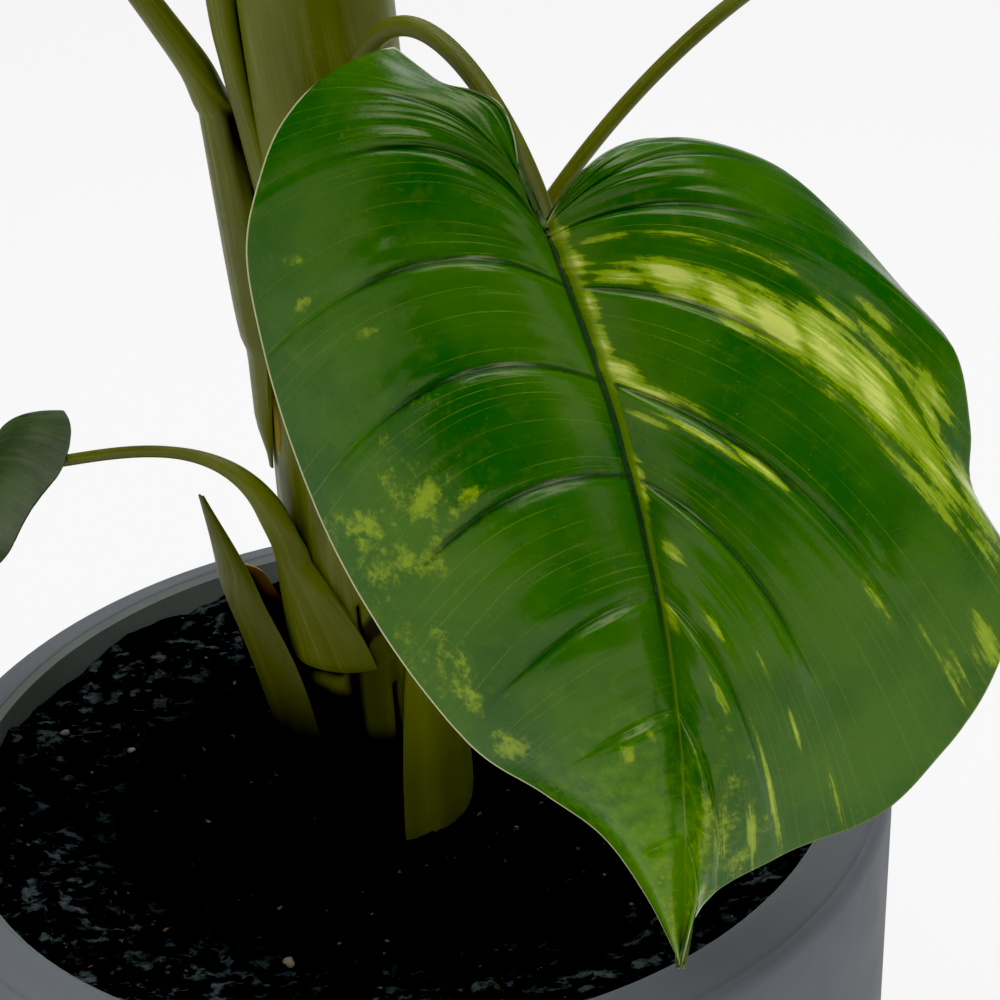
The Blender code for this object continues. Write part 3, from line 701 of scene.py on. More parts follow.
def fine_veins(leaf, place, veins, towards_tip):
    """Pale hair lines between the side veins, in pairs that come and go."""
    wander = leaf.noise(leaf.stretched(veins, (2.5, 9.0, 1.0)), 1.0, 1.0)
    line_place = leaf.plus(leaf.times(towards_tip, PLEATS * 6.0), leaf.times(wander, 1.1))
    partner_place = leaf.plus(line_place, 0.42)
    seen = leaf.rise(leaf.noise(leaf.stretched(veins, (2.5, 75.0, 1.0)), 1.0, 2.0), 0.42, 0.60)
    seen_partner = leaf.rise(leaf.noise(leaf.stretched(veins, (2.0, 95.0, 3.0)), 1.0, 2.0), 0.50, 0.62)
    line = leaf.times(leaf.rise(leaf.from_line(line_place), 0.040, 0.014), seen)
    partner = leaf.times(leaf.rise(leaf.from_line(partner_place), 0.036, 0.012), seen_partner)
    broken = leaf.rise(leaf.noise(place, 420.0, 2.0), 0.30, 0.55, 1.0, 0.35)
    return leaf.times(leaf.math("MAXIMUM", line, partner), broken)


def leaf_markings(leaf, colours, colour, place, veins, grain):
    """Ragged yellow streaks and patches over a colour, each in a soft halo."""
    ragged = leaf.noise(leaf.stretched(veins, (17.0, 150.0, 1.0)), 1.0, 6.0, 0.66)
    coarse = leaf.noise(leaf.stretched(veins, (8.0, 42.0, 1.0)), 1.0, 3.0)
    spread = leaf.plus(leaf.plus(leaf.times(ragged, 1.5), leaf.times(coarse, 1.1)), leaf.times(grain, 0.35))
    streaks = leaf.plus(leaf.value("streak"), leaf.minus(spread, 2.02))
    blots = leaf.plus(leaf.times(leaf.noise(place, 150.0, 8.0, 0.74), 3.4), leaf.times(grain, 0.50))
    patches = leaf.plus(leaf.value("patch"), leaf.minus(blots, 2.66))
    halo = leaf.rise(leaf.math("MAXIMUM", streaks, patches), -0.30, 0.20, 0.55)
    colour = leaf.mix(halo, colour, (0.085, 0.175, 0.002))
    colour = leaf.mix(leaf.rise(patches, -0.12, 0.46, 0.92), colour, tint(colours.leaf_marking, 0.95))
    colour = leaf.mix(leaf.rise(streaks, 0.02, 0.28, 0.92), colour, colours.leaf_marking)
    pale = leaf.rise(leaf.minus(streaks, leaf.times(grain, 0.2)), 0.22, 0.66)
    return leaf.mix(pale, colour, colours.leaf_pale)


def midrib_lines(leaf, colours, colour, place, rib, towards_tip):
    """Yellow stripe beside the midrib and painted shade in its groove over a colour, both finer towards the
    tip.
    """
    sway = leaf.times(leaf.minus(leaf.noise(place, 90.0, 2.0), 0.5), 0.0010)
    from_rib = leaf.math("DIVIDE", leaf.plus(rib, sway), leaf.minus(1.12, towards_tip))
    stripe = leaf.times(leaf.rise(from_rib, 0.0006, 0.0011), leaf.rise(from_rib, 0.0042, 0.0026), 0.75)
    colour = leaf.mix(stripe, colour, tint(colours.leaf_marking, 0.70))
    # Painted shade in the midrib's groove
    groove = leaf.times(leaf.rise(from_rib, -0.0022, -0.0016), leaf.rise(from_rib, 0.0008, 0.0002))
    shown = leaf.times(leaf.rise(towards_tip, 0.78, 0.62), 0.85)
    return leaf.mix(leaf.times(groove, shown), colour, (0.022, 0.045, 0.030))


def leaf_material(colours):
    """Satin green with fine veins, ragged yellow markings, painted shade in the side veins' grooves, and a
    stripe along the midrib with painted shade in its groove.
    """
    leaf = Recipe("leaf", 0.30, 0.46)
    leaf.shader.inputs["Specular Tint"].default_value = (1.0, 0.90, 0.66, 1.0)
    place = leaf.object_place()
    veins = leaf.uv("veins")
    across, towards_tip = leaf.node("SeparateXYZ", {0: veins}).outputs[:2]
    mottle = leaf.noise(place, 260.0, 4.0, 0.65)
    grain = leaf.noise(place, 620.0, 2.0, 0.7)
    rib = leaf.value("rib")

    colour = leaf_green(leaf, colours, place, mottle)
    line = fine_veins(leaf, place, veins, towards_tip)
    colour = leaf.mix(leaf.times(line, 0.58), colour, (0.130, 0.235, 0.003))
    tip_place = leaf.plus(towards_tip, leaf.times(leaf.minus(mottle, 0.5), 0.35))
    colour = leaf.mix(leaf.rise(tip_place, 0.74, 0.94, 0.85), colour, (0.115, 0.290, 0.003))
    colour = leaf_markings(leaf, colours, colour, place, veins, grain)

    # Painted shade in the grooves along the side veins, fading towards the tip
    rough_vein = leaf.plus(leaf.from_vein(towards_tip), leaf.times(leaf.noise(place, 420.0, 4.0, 0.7), 0.04))
    vein_groove_mask = leaf.times(leaf.rise(rough_vein, 0.066, 0.030),
                           leaf.rise(leaf.math("ABSOLUTE", rib), 0.050, 0.038), 0.70)
    vein_groove_shade = leaf.times(vein_groove_mask, leaf.rise(towards_tip, 0.73, 0.58))
    colour = leaf.mix(vein_groove_shade, colour, (0.006, 0.026, 0.012))
    colour = midrib_lines(leaf, colours, colour, place, rib, towards_tip)

    dust = leaf.times(leaf.rise(leaf.noise(place, 1500.0, 1.0), 0.74, 0.80), 0.5)
    colour = leaf.mix(dust, colour, (0.200, 0.260, 0.100))
    pale_tip = leaf.times(leaf.rise(towards_tip, 0.965, 0.995), 0.6)
    colour = leaf.mix(pale_tip, colour, (0.350, 0.450, 0.160))
    edge = leaf.rise(leaf.value("inset"), 0.00045, 0.00020)
    cream = leaf.times(edge, cream_share(leaf, across, towards_tip))
    colour = leaf.mix(cream, colour, colours.leaf_edge)

    leaf.bump(leaf.plus(leaf.times(line, -0.15), leaf.times(grain, 0.35)), 0.00020, 0.8)
    return leaf.finish(colour, leaf.rise(leaf.noise(place, 55.0, 4.0), 0.3, 0.7, 0.30, 0.21))


def young_leaf_material():
    """Green of the small low leaf, greyed by painted sheen, with paler lines along its veins and no markings.
    """
    leaf = Recipe("leaf_young_sheen", 0.42, 0.35)
    place = leaf.object_place()
    towards_tip = leaf.node("SeparateXYZ", {0: leaf.uv("veins")}).outputs[1]
    cloud = leaf.rise(leaf.noise(place, 70.0, 4.0), 0.35, 0.65)
    # Painted sheen: grey-green over the leaf's green
    colour = leaf.mix(cloud, (0.030, 0.052, 0.014), (0.060, 0.098, 0.026))
    off_vein = leaf.from_line(leaf.times(towards_tip, PLEATS * 3.0))
    colour = leaf.mix(leaf.rise(off_vein, 0.06, 0.02, 0.5), colour, (0.090, 0.130, 0.030))
    leaf.bump(leaf.noise(place, 500.0, 3.0), 0.0002, 0.6)
    return leaf.finish(colour)


def cream_share(recipe, across, towards_tip):
    """How cream the margin is: wholly on the left half and at the tip, hardly on the rest."""
    left = recipe.rise(across, 0.60, 0.55, 1.0, 0.15)
    return recipe.math("MAXIMUM", left, recipe.rise(towards_tip, 0.74, 0.84, 0.85))


def leaf_back_material(colours):
    """Duller, paler green of the back, with lighter raised ribs."""
    back = Recipe("leaf_back", 0.55, 0.35)
    place = back.object_place()
    towards_tip = back.node("SeparateXYZ", {0: back.uv("veins")}).outputs[1]
    cloud = back.rise(back.noise(place, 40.0), 0.35, 0.65)
    colour = back.mix(cloud, colours.leaf_back, tint(colours.leaf_back, 0.7))
    from_rib = back.math("ABSOLUTE", back.value("rib"))
    side_ribs = back.times(back.rise(back.from_vein(towards_tip), 0.07, 0.02),
                           back.rise(from_rib, 0.050, 0.010))
    ribs = back.math("MAXIMUM", back.rise(from_rib, 0.0030, 0.0015), side_ribs)
    colour = back.mix(back.times(ribs, 0.6), colour, (0.200, 0.260, 0.070))
    back.bump(back.noise(place, 700.0, 2.0), 0.0002, 0.5)
    return back.finish(colour)


def leaf_edge_material(colours):
    """Cream cut edge of the blade."""
    edge = Recipe("leaf_edge", 0.5, 0.3)
    soft = edge.noise(edge.object_place(), 120.0)
    across, towards_tip = edge.node("SeparateXYZ", {0: edge.uv("veins")}).outputs[:2]
    cream = edge.mix(soft, colours.leaf_edge, tint(colours.leaf_edge, 0.8))
    return edge.finish(edge.mix(cream_share(edge, across, towards_tip), colours.leaf_light, cream))


def stem_material(colours):
    """Waxy olive with streaks along the stalk and pale scuffs, painted shade in folds, burnt edges and
    painted light at a foot.
    """
    stem = Recipe("stem", 0.45, 0.35)
    place = stem.object_place()
    grain = stem.uv("grain")
    streak = stem.noise(stem.stretched(grain, (34.0, 1.6, 1.0)), 1.0, 4.0, 0.6)
    broad = stem.noise(stem.stretched(place, (1.0, 1.0, 0.3)), 42.0, 3.0)
    blotch = stem.noise(place, 170.0, 4.0, 0.6)
    colour = stem.mix(stem.rise(broad, 0.30, 0.70), tint(colours.stem, 0.75), tint(colours.stem, 1.2))
    colour = stem.mix(stem.rise(streak, 0.50, 0.72, 0.55), colour, (0.230, 0.245, 0.060))
    colour = stem.mix(stem.rise(streak, 0.46, 0.30, 0.5), colour, (0.070, 0.085, 0.003))
    colour = stem.mix(stem.rise(blotch, 0.62, 0.78, 0.5), colour, (0.210, 0.220, 0.050))
    # Painted shade: dark folds, clefts, the bract's inside and the stem's foot, where shade falls
    colour = stem.mix(stem.value("painted_shade"), colour, (0.014, 0.010, 0.003))
    colour = stem.mix(stem.value("burn"), colour, (0.950, 0.560, 0.060))
    # Painted light on the right sheath's foot, kept there as its tone
    colour = stem.mix(stem.times(stem.value("tone"), 0.8), colour, (0.330, 0.350, 0.040))
    stem.bump(stem.plus(stem.times(streak, 0.7), stem.times(blotch, 0.3)), 0.0006, 0.5)
    return stem.finish(colour, stem.rise(blotch, 0.3, 0.7, 0.50, 0.36))


def soil_material(colours):
    """Near black mix with painted bluish glints, mostly towards the pot's wall, and a few brown fibres."""
    soil = Recipe("soil", 0.75, 0.12)
    place = soil.object_place()
    x, y = soil.node("SeparateXYZ", {0: place}).outputs[:2]
    outward = soil.from_axis(x, y)
    fibre = soil.noise(soil.stretched(place, (1.0, 1.5, 1.0)), 170.0, 4.0, 0.6)
    lump = soil.noise(place, 60.0, 3.0)
    # Painted highlights: bluish glints on lumps, faint in the middle and strong towards the pot's wall
    glint = soil.times(soil.rise(fibre, 0.50, 0.66), soil.rise(lump, 0.36, 0.56),
                       soil.rise(outward, 0.070, 0.102, 1.0, 0.06))
    colour = soil.mix(glint, colours.soil, (0.066, 0.085, 0.090))
    brown = soil.times(soil.rise(soil.noise(place, 330.0, 2.0), 0.68, 0.74), soil.rise(lump, 0.60, 0.45))
    colour = soil.mix(brown, colour, (0.110, 0.085, 0.045))
    soil.bump(soil.plus(fibre, soil.noise(place, 900.0, 3.0)), 0.0012, 0.9)
    return soil.finish(colour)


def pebble_material():
    """Dull tan and whitish stones."""
    stone = Recipe("pebble", 0.7, 0.3)
    place = stone.object_place()
    tone = stone.noise(place, 45.0, 2.0)
    colour = stone.mix(stone.rise(tone, 0.4, 0.6), (0.150, 0.105, 0.060), (0.240, 0.220, 0.200))
    speckle = stone.rise(stone.noise(place, 900.0, 3.0), 0.5, 0.8, 0.6)
    colour = stone.mix(speckle, colour, (0.080, 0.060, 0.045))
    return stone.finish(colour)


def pot_material(colours):
    """Satin slate with faint clouding and fine tooth, with painted light on its inside above the soil."""
    pot = Recipe("pot", 0.60, 0.14)
    place = pot.object_place()
    x, y, z = pot.node("SeparateXYZ", {0: place}).outputs[:3]
    outward = pot.from_axis(x, y)
    cloud = pot.noise(place, 14.0, 4.0, 0.6)
    colour = pot.mix(pot.rise(cloud, 0.3, 0.7), tint(colours.pot, 0.93), tint(colours.pot, 1.07))
    # Painted light: the inner wall above the soil made paler, in streaks
    inner_wall_light = pot.times(pot.rise(outward, LIP_INNER_RADIUS + 0.0004, LIP_INNER_RADIUS),
                      pot.rise(z, SOIL_TOP - 0.008, SOIL_TOP - 0.004))
    streaked = pot.rise(pot.noise(pot.stretched(place, (1.0, 1.0, 3.0)), 60.0, 4.0), 0.3, 0.7, 0.95, 0.75)
    colour = pot.mix(pot.times(inner_wall_light, streaked), colour, (0.250, 0.280, 0.262))
    pot.bump(pot.noise(place, 1600.0, 2.0), 0.00008, 0.6)
    return pot.finish(colour, pot.rise(pot.noise(place, 60.0, 4.0), 0.3, 0.7, 0.62, 0.52))


def object_from(name, bm, materials, sharp_angle=50):
    """An object of the scene from a bmesh, smooth shaded, with its materials."""
    mesh = bpy.data.meshes.new(name)
    bm.to_mesh(mesh)
    bm.free()
    mesh.shade_smooth()
    mesh.set_sharp_from_angle(angle=math.radians(sharp_angle))
    for material in materials:
        mesh.materials.append(material)
    piece = bpy.data.objects.new(name, mesh)
    bpy.context.scene.collection.objects.link(piece)
    return piece


def join_plant(piece, slot, *nodes):
    """Let a piece ride on the plant's body and stand for its solids."""
    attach(piece, BODY)
    if nodes:
        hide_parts(*nodes)


def turned(profile, sides):
    """Closed body turned from a profile of (radius, height) whose ends lie on the axis."""
    bm = bmesh.new()
    verts = [bm.verts.new((radius, 0.0, z)) for radius, z in profile]
    edges = [bm.edges.new(pair) for pair in zip(verts, verts[1:])]
    bmesh.ops.spin(bm, geom=verts + edges, axis=(0, 0, 1), cent=(0, 0, 0), angle=2 * math.pi, steps=sides,
                   use_merge=True, use_duplicate=False)
    bmesh.ops.remove_doubles(bm, verts=bm.verts, dist=1e-5)
    bmesh.ops.recalc_face_normals(bm, faces=bm.faces)
    return bm


def pot_outside():
    """Profile of the pot from the middle of its underside up its wall and round the rim's outer edge."""
    shoulder = POT_HEIGHT - LIP_SLOPE_DROP
    flat = POT_FOOT_RADIUS - POT_FOOT_ROUNDING
    profile = [(0.0, 0.0), (flat, 0.0)]
    for degrees in (30, 60, 90):
        a = math.radians(degrees)
        profile.append((flat + POT_FOOT_ROUNDING * math.sin(a), POT_FOOT_ROUNDING * (1 - math.cos(a))))
    for step in range(1, POT_WALL_STEPS):
        share = step / POT_WALL_STEPS
        profile.append((POT_FOOT_RADIUS + (POT_RADIUS - POT_FOOT_RADIUS) * share,
                        POT_FOOT_ROUNDING + (shoulder - RIM_ROUNDING - POT_FOOT_ROUNDING) * share))
    for step in range(RIM_STEPS + 1):
        a = math.radians(RIM_TURN * step / RIM_STEPS)
        crease = CREASE_DEPTH * math.exp(-((step - CREASE_STEP) / CREASE_SPREAD) ** 2)
        profile.append((LIP_OUTER_RADIUS + (POT_RADIUS - LIP_OUTER_RADIUS) * math.cos(a) - 0.6 * crease,
                        shoulder - RIM_ROUNDING * (1 - math.sin(a)) - 0.8 * crease))
    return profile


def make_pot(colours):
    """Pot: flat underside, nearly upright wall, a soft crease under a rim that slopes out and down."""
    profile = pot_outside()
    lip_radius, lip_height = LIP_OUTER_RADIUS - LIP_EDGE, POT_HEIGHT - LIP_SLOPE_DROP + LIP_CORNER
    width = LIP_OUTER_RADIUS - LIP_INNER_RADIUS - LIP_EDGE - LIP_INNER_EDGE
    for step in range(LIP_STEPS + 1):
        share = step / LIP_STEPS
        profile.append((lip_radius - width * share, lip_height + (LIP_SLOPE_DROP - LIP_CORNER) * share))
    profile += [(LIP_INNER_RADIUS + 0.0005, POT_HEIGHT - 0.0001), (LIP_INNER_RADIUS, POT_HEIGHT - 0.0007)]
    for z in (POT_HEIGHT - 0.002, POT_HEIGHT - 0.005, SOIL_TOP + 0.004, SOIL_TOP - 0.010, POT_FLOOR + 0.004):
        profile.append((wall_radius(z), z))
    profile += [(wall_radius(POT_FLOOR) - 0.004, POT_FLOOR), (0.0, POT_FLOOR)]
    pot = object_from("planter", turned(profile, POT_SIDES), [pot_material(colours)], 40)
    join_plant(pot, "pot", "pot")


def soil_height(x, y):
    """Height of the lumpy soil over its mean level."""
    coarse = noise.noise(Vector((x * 55, y * 55, 3.0)))
    middle = noise.noise(Vector((x * 140, y * 140, 7.0)))
    fine = noise.noise(Vector((x * 380, y * 380, 11.0)))
    return SOIL_COARSE * (0.6 * coarse + 0.4 * abs(middle)) + SOIL_FINE * (0.6 * middle + 0.6 * abs(fine))


def soil_top_at(x, y):
    """Height of the soil's surface: banked up towards the pot's wall, hollow round the stem."""
    bank = SOIL_BANK * smooth(0.080, 0.112, math.hypot(x, y))
    hollow = SOIL_HOLLOW * (1 - smooth(0.024, 0.040, math.hypot(x - TRUNK_X, y)))
    return SOIL_TOP - SOIL_SINK + bank - hollow + soil_height(x, y)


def make_soil(colours):
    """Soil: a lumpy top inside the pot's wall, closed below, with loose crumbs and half-sunk pebbles."""
    edge = wall_radius(SOIL_TOP) - 0.0006
    profile = [(0.0, SOIL_TOP)]
    profile += [(edge * (step / SOIL_RINGS) ** 0.85, SOIL_TOP) for step in range(1, SOIL_RINGS + 1)]
    profile += [(edge - 0.001, SOIL_TOP - SOIL_DEPTH), (0.0, SOIL_TOP - SOIL_DEPTH)]
    bm = turned(profile, SOIL_SPOKES)
    for vert in bm.verts:
        if vert.co.z > SOIL_TOP - 0.001:
            vert.co.z = soil_top_at(vert.co.x, vert.co.y)
    material = soil_material(colours)
    soil = object_from("potting_mix", bm, [material], 180)
    join_plant(soil, "soil", "soil")
    draw = random.Random(5)
    scatter("soil_crumbs", CRUMB_COUNT, CRUMB_SIZES, 1, draw, [material], edge)
    scatter("soil_pebbles", PEBBLE_COUNT, PEBBLE_SIZES, 2, draw, [pebble_material()], edge)


def scatter(name, count, sizes, fineness, draw, materials, edge):
    """Loose bits, each a small uneven ball, half sunk in the soil, made a handful at a time."""
    mesh = bpy.data.meshes.new(name + "_heap")
    for first in range(0, count, HANDFUL):
        bm = bmesh.new()
        for index in range(first, min(first + HANDFUL, count)):
            distance = 0.030 + (edge - 0.034) * math.sqrt(draw.random())
            azimuth = draw.uniform(0, 2 * math.pi)
            x, y = distance * math.cos(azimuth), distance * math.sin(azimuth)
            size = sizes[0] + (sizes[1] - sizes[0]) * draw.random() ** 2.2
            ball = bmesh.ops.create_icosphere(bm, subdivisions=fineness, radius=size)["verts"]
            stretch = (draw.uniform(0.8, 1.6), draw.uniform(0.7, 1.0), draw.uniform(0.5, 0.9))
            bmesh.ops.scale(bm, vec=stretch, verts=ball)
            turn = Matrix.Rotation(draw.uniform(0, 6.28), 3, "Z")
            bmesh.ops.rotate(bm, matrix=turn, verts=ball)
            for vert in ball:
                vert.co *= 1 + 0.35 * noise.noise(vert.co / size * 0.9 + Vector((index, 0, 0)))
            bmesh.ops.translate(bm, vec=(x, y, soil_top_at(x, y) + 0.25 * size), verts=ball)
        bm.from_mesh(mesh)
        bm.to_mesh(mesh)
        bm.free()
    heap = bmesh.new()
    heap.from_mesh(mesh)
    bpy.data.meshes.remove(mesh)
    join_plant(object_from(name, heap, materials, 40), "soil")


def set_uv(bm, name, values):
    """Write a UV map from a dictionary of vertex to (u, v)."""
    layer = bm.loops.layers.uv.new(name)
    for face in bm.faces:
        for loop in face.loops:
            loop[layer].uv = values[loop.vert]


def grid_share(y):
    """Place from lobe to tip of a row of the flat grid, whose rows crowd at each pleat's groove."""
    step = min(max((y + 1) / 2, 0.0), 1.0) * PLEATS
    pleat = min(math.floor(step + 1e-5), PLEATS - 1)
    return min((pleat + max(step - pleat, 0.0) ** 1.5) / PLEATS, 1.0)


def margin_way(side, q):
    """Direction of the margin where a line from the midrib meets it."""
    ahead, behind = VeinRow(side, min(q + 0.004, 1.0)).end, VeinRow(side, max(q - 0.004, 0.0)).end
    return (ahead - behind).normalized()


def marks_at(side, q, r, markings):
    """How strong the streaks and the patches are at a place on the pattern leaf."""
    streak = patch = 0.0
    for mark_side, mark_q, mark_r, half_q, half_r, strength in markings:
        if mark_side == side:
            gone = ((q - mark_q) / half_q) ** 2 + ((r - mark_r) / half_r) ** 2
            mark = abs(strength) * math.exp(-MARKING_SOFTNESS * gone)
            if strength < 0:
                patch = max(patch, mark)
            else:
                streak = max(streak, mark)
    return streak, patch


def sharpen_rim(blade):
    """Keep the open edge of a blade crisp, so that its face shades evenly up to the rim."""
    rim = blade.data.attributes.get("sharp_edge")
    if rim is None:
        rim = blade.data.attributes.new("sharp_edge", "BOOLEAN", "EDGE")
    uses = Counter(edge for loop in blade.data.polygons for edge in loop.edge_keys)
    for edge in blade.data.edges:
        rim.data[edge.index].value = uses[edge.key] == 1


def make_blade(name, leaf, rows, columns, markings, materials):
    """Fine blade: a grid laid over the mould, with its coordinates, markings and edge kept at each point."""
    bm = bmesh.new()
    bmesh.ops.create_grid(bm, x_segments=columns, y_segments=rows, size=1.0)
    layers = [bm.verts.layers.float.new(layer) for layer in ("rib", "inset", "streak", "patch")]
    vein_rows = {}
    uv = {}
    for vert in bm.verts:
        side = -1 if vert.co.x < 0 else 1
        q = grid_share(vert.co.y)
        r = min(abs(vert.co.x), 1.0) ** 1.35
        key = (side, round(min(max((vert.co.y + 1) / 2, 0.0), 1.0) * rows))
        if key not in vein_rows:
            vein_rows[key] = (VeinRow(side, q), margin_way(side, q), VeinRow(side, 0.0))
        row, way, lobe_row = vein_rows[key]
        across, along, height = row.point(r)
        vert.co = leaf.place(across, along, height)
        flat = Vector((across, along))
        chord = row.end - flat
        inset = (chord - way * chord.dot(way)).length
        if q < 0.2:
            inset = min(inset, (Vector(lobe_row.point(r)[:2]) - flat).length)
        values = (side * (flat - row.root).length, inset * leaf.size, *marks_at(side, q, r, markings))
        for layer, value in zip(layers, values):
            vert[layer] = value
        uv[vert] = (0.5 + 0.5 * side * r, q)
    set_uv(bm, "veins", uv)
    bmesh.ops.remove_doubles(bm, verts=bm.verts, dist=2e-5)
    if leaf.mirror > 0:
        bmesh.ops.reverse_faces(bm, faces=bm.faces)
    blade = object_from(name, bm, materials, 180)
    sharpen_rim(blade)
    solid = blade.modifiers.new("thickness", "SOLIDIFY")
    solid.thickness = BLADE_THICKNESS
    solid.offset = -1.0
    solid.material_offset = 1
    solid.material_offset_rim = 2
    return blade


def other_markings(draw):
    """Markings of a leaf that is not the front one: some of the pattern's, moved and faded."""
    chosen = []
    for _, q, r, half_q, half_r, strength in MARKINGS:
        if draw.random() < 0.7:
            chosen.append((draw.choice((-1, 1)), min(max(q + draw.uniform(-0.12, 0.12), 0.05), 0.95), r,
                           half_q * draw.uniform(0.8, 1.5), half_r, strength * draw.uniform(0.6, 1.05)))
    return chosen


def crescent(centre, azimuth, half_width, inner, thickness, sides, edge_share=0.35):
    """Ring of a sheath: its outer arc one way and its inner arc back, thinner towards both edges."""
    count = sides // 2
    outer_arc, inner_arc = [], []
    for index in range(count):
        s = 2 * index / (count - 1) - 1
        way = outward(azimuth + half_width * s)
        thick = thickness * (edge_share + (1 - edge_share) * (1 - abs(s) ** 3))
        outer_arc.append(centre + (inner + thick) * way)
        inner_arc.append(centre + inner * way)
    return outer_arc + inner_arc[::-1]


def oval(centre, side, out, half_width, half_depth, sides):
    """Ring of a stalk, in step with a crescent's points."""
    turns = [math.radians(-90 + (index + 0.5) * 360 / sides) for index in range(sides)]
    return [centre + side * (half_width * math.sin(t)) + out * (half_depth * math.cos(t)) for t in turns]


def lofted(rings):
    """Closed body extruded from ring to ring, with its place round and along kept as a UV map."""
    bm = bmesh.new()
    spoke = bm.verts.layers.int.new("spoke")
    level = bm.verts.layers.int.new("level")
    first = bmesh.ops.create_circle(bm, cap_ends=True, radius=1.0, segments=len(rings[0]))["verts"]
    for index, vert in enumerate(first):
        vert[spoke] = index
        vert.co = rings[0][index]
    cap = bm.faces[:]
    inner = []
    for number, ring in enumerate(rings[1:]):
        grown = bmesh.ops.extrude_face_region(bm, geom=cap)["geom"]
        bmesh.ops.delete(bm, geom=inner, context="FACES_ONLY")
        cap = [item for item in grown if isinstance(item, bmesh.types.BMFace)]
        inner = cap
        for item in grown:
            if isinstance(item, bmesh.types.BMVert):
                item.co = ring[item[spoke]]
                item[level] = number + 1
    lengths = [0.0]
    for low, high in zip(rings, rings[1:]):
        lengths.append(lengths[-1] + (high[0] - low[0]).length)
    sides = len(rings[0])
    layer = bm.loops.layers.uv.new("grain")
    for face in bm.faces:
        for loop in face.loops:
            u = loop.vert[spoke] / sides
            if u == 0 and any(l.vert[spoke] == sides - 1 for l in face.loops) and len(face.verts) == 4:
                u = 1.0
            loop[layer].uv = (u, lengths[loop.vert[level]] * 10)
    bmesh.ops.recalc_face_normals(bm, faces=bm.faces)
    return bm


def stalk_seat(leaf):
    """Point just behind the blade's midrib, near the notch, where the stalk ends, and its facing."""
    point = leaf.place(*rib_point(SEAT_ALONG))
    ahead = leaf.place(*rib_point(SEAT_ALONG + 0.002))
    normal = (ahead - point).cross(leaf.across).normalized()
    if normal.dot(leaf.face) < 0:
        normal = -normal
    return point - normal * (BLADE_THICKNESS + GAP), normal


def rib_point(along):
    """Point of the pattern leaf on its midrib."""
    bow, height = midrib(along)
    return bow, along, height


def sheath_rings(sheath, sides, swelling):
    """Rings of a sheath that hugs the stem, thin at its foot and thicker upwards."""
    bottom, top, foot_azimuth, top_azimuth, half_width = sheath
    rings = []
    for level in range(SHEATH_RINGS + 1):
        share = level / SHEATH_RINGS
        azimuth = foot_azimuth + (top_azimuth - foot_azimuth) * share
        z = bottom + (top - bottom) * share
        if swelling:
            width = half_width * (1 - 0.85 * ((share - 0.62) / 0.62) ** 2)
            feather = 4 * smooth(0.0, 0.16, share) - 3
        else:
            width = half_width * (1 - 0.6 * share ** 2)
            feather = smooth(0.0, 0.05, share)
        thickness = SHEATH_THICKNESS * (0.92 + 0.22 * feather + 0.7 * share ** 2)
        thickness += swelling * max(0.0, (z - SWELLING_FOOT) / SWELLING_RISE) ** 0.4
        centre = Vector((TRUNK_X, 0, z))
        rings.append(crescent(centre, azimuth, width, trunk_radius(z) + GAP, thickness, sides))
    return rings


def stalk_rings(leaf, sheath, leave, arrive, widths, sides, count, swelling=0.0):
    """Rings of a leaf stalk: a sheath hugging the stem that draws in to a round stalk along a curve."""
    top, top_azimuth = sheath[1], sheath[3]
    seat, seat_normal = stalk_seat(leaf)
    start = around_trunk(top_azimuth, trunk_radius(top) + GAP + SHEATH_THICKNESS * 0.85, top)
    route = (start, start + Vector(leave), seat - Vector(arrive), seat)
    rings = sheath_rings(sheath, sides, swelling)
    last = rings[-1]
    side = sideways(top_azimuth)
    for step in range(1, count + 1):
        t = step / count
        centre = bezier(*route, t)
        tangent = (bezier(*route, min(t + 0.01, 1.0)) - bezier(*route, max(t - 0.01, 0.0))).normalized()
        side = (side - tangent * side.dot(tangent)).normalized()
        out = side.cross(tangent)
        thin = min(1.0, t / 0.45)
        half = widths[0] + (widths[1] - widths[0]) * (1 - (1 - thin) ** 2)
        ring = oval(centre, side, out, half, half * (0.72 + 0.28 * thin), sides)
        blend = smooth(0.0, 1.0 / CAD_STALK_RINGS, t)
        if blend < 1.0:
            ring = [(low + (centre - start)).lerp(high, blend) for low, high in zip(last, ring)]
        if step == count:
            ring = [p + tangent * ((seat - p).dot(seat_normal) / tangent.dot(seat_normal)) for p in ring]
        rings.append(ring)
    return rings


def mark_points(piece, name, rule):
    """Keep a number at each point of a piece, worked out by a rule from its place."""
    attribute = piece.data.attributes.new(name, "FLOAT", "POINT")
    attribute.data.foreach_set("value", [rule(vert.co) for vert in piece.data.vertices])


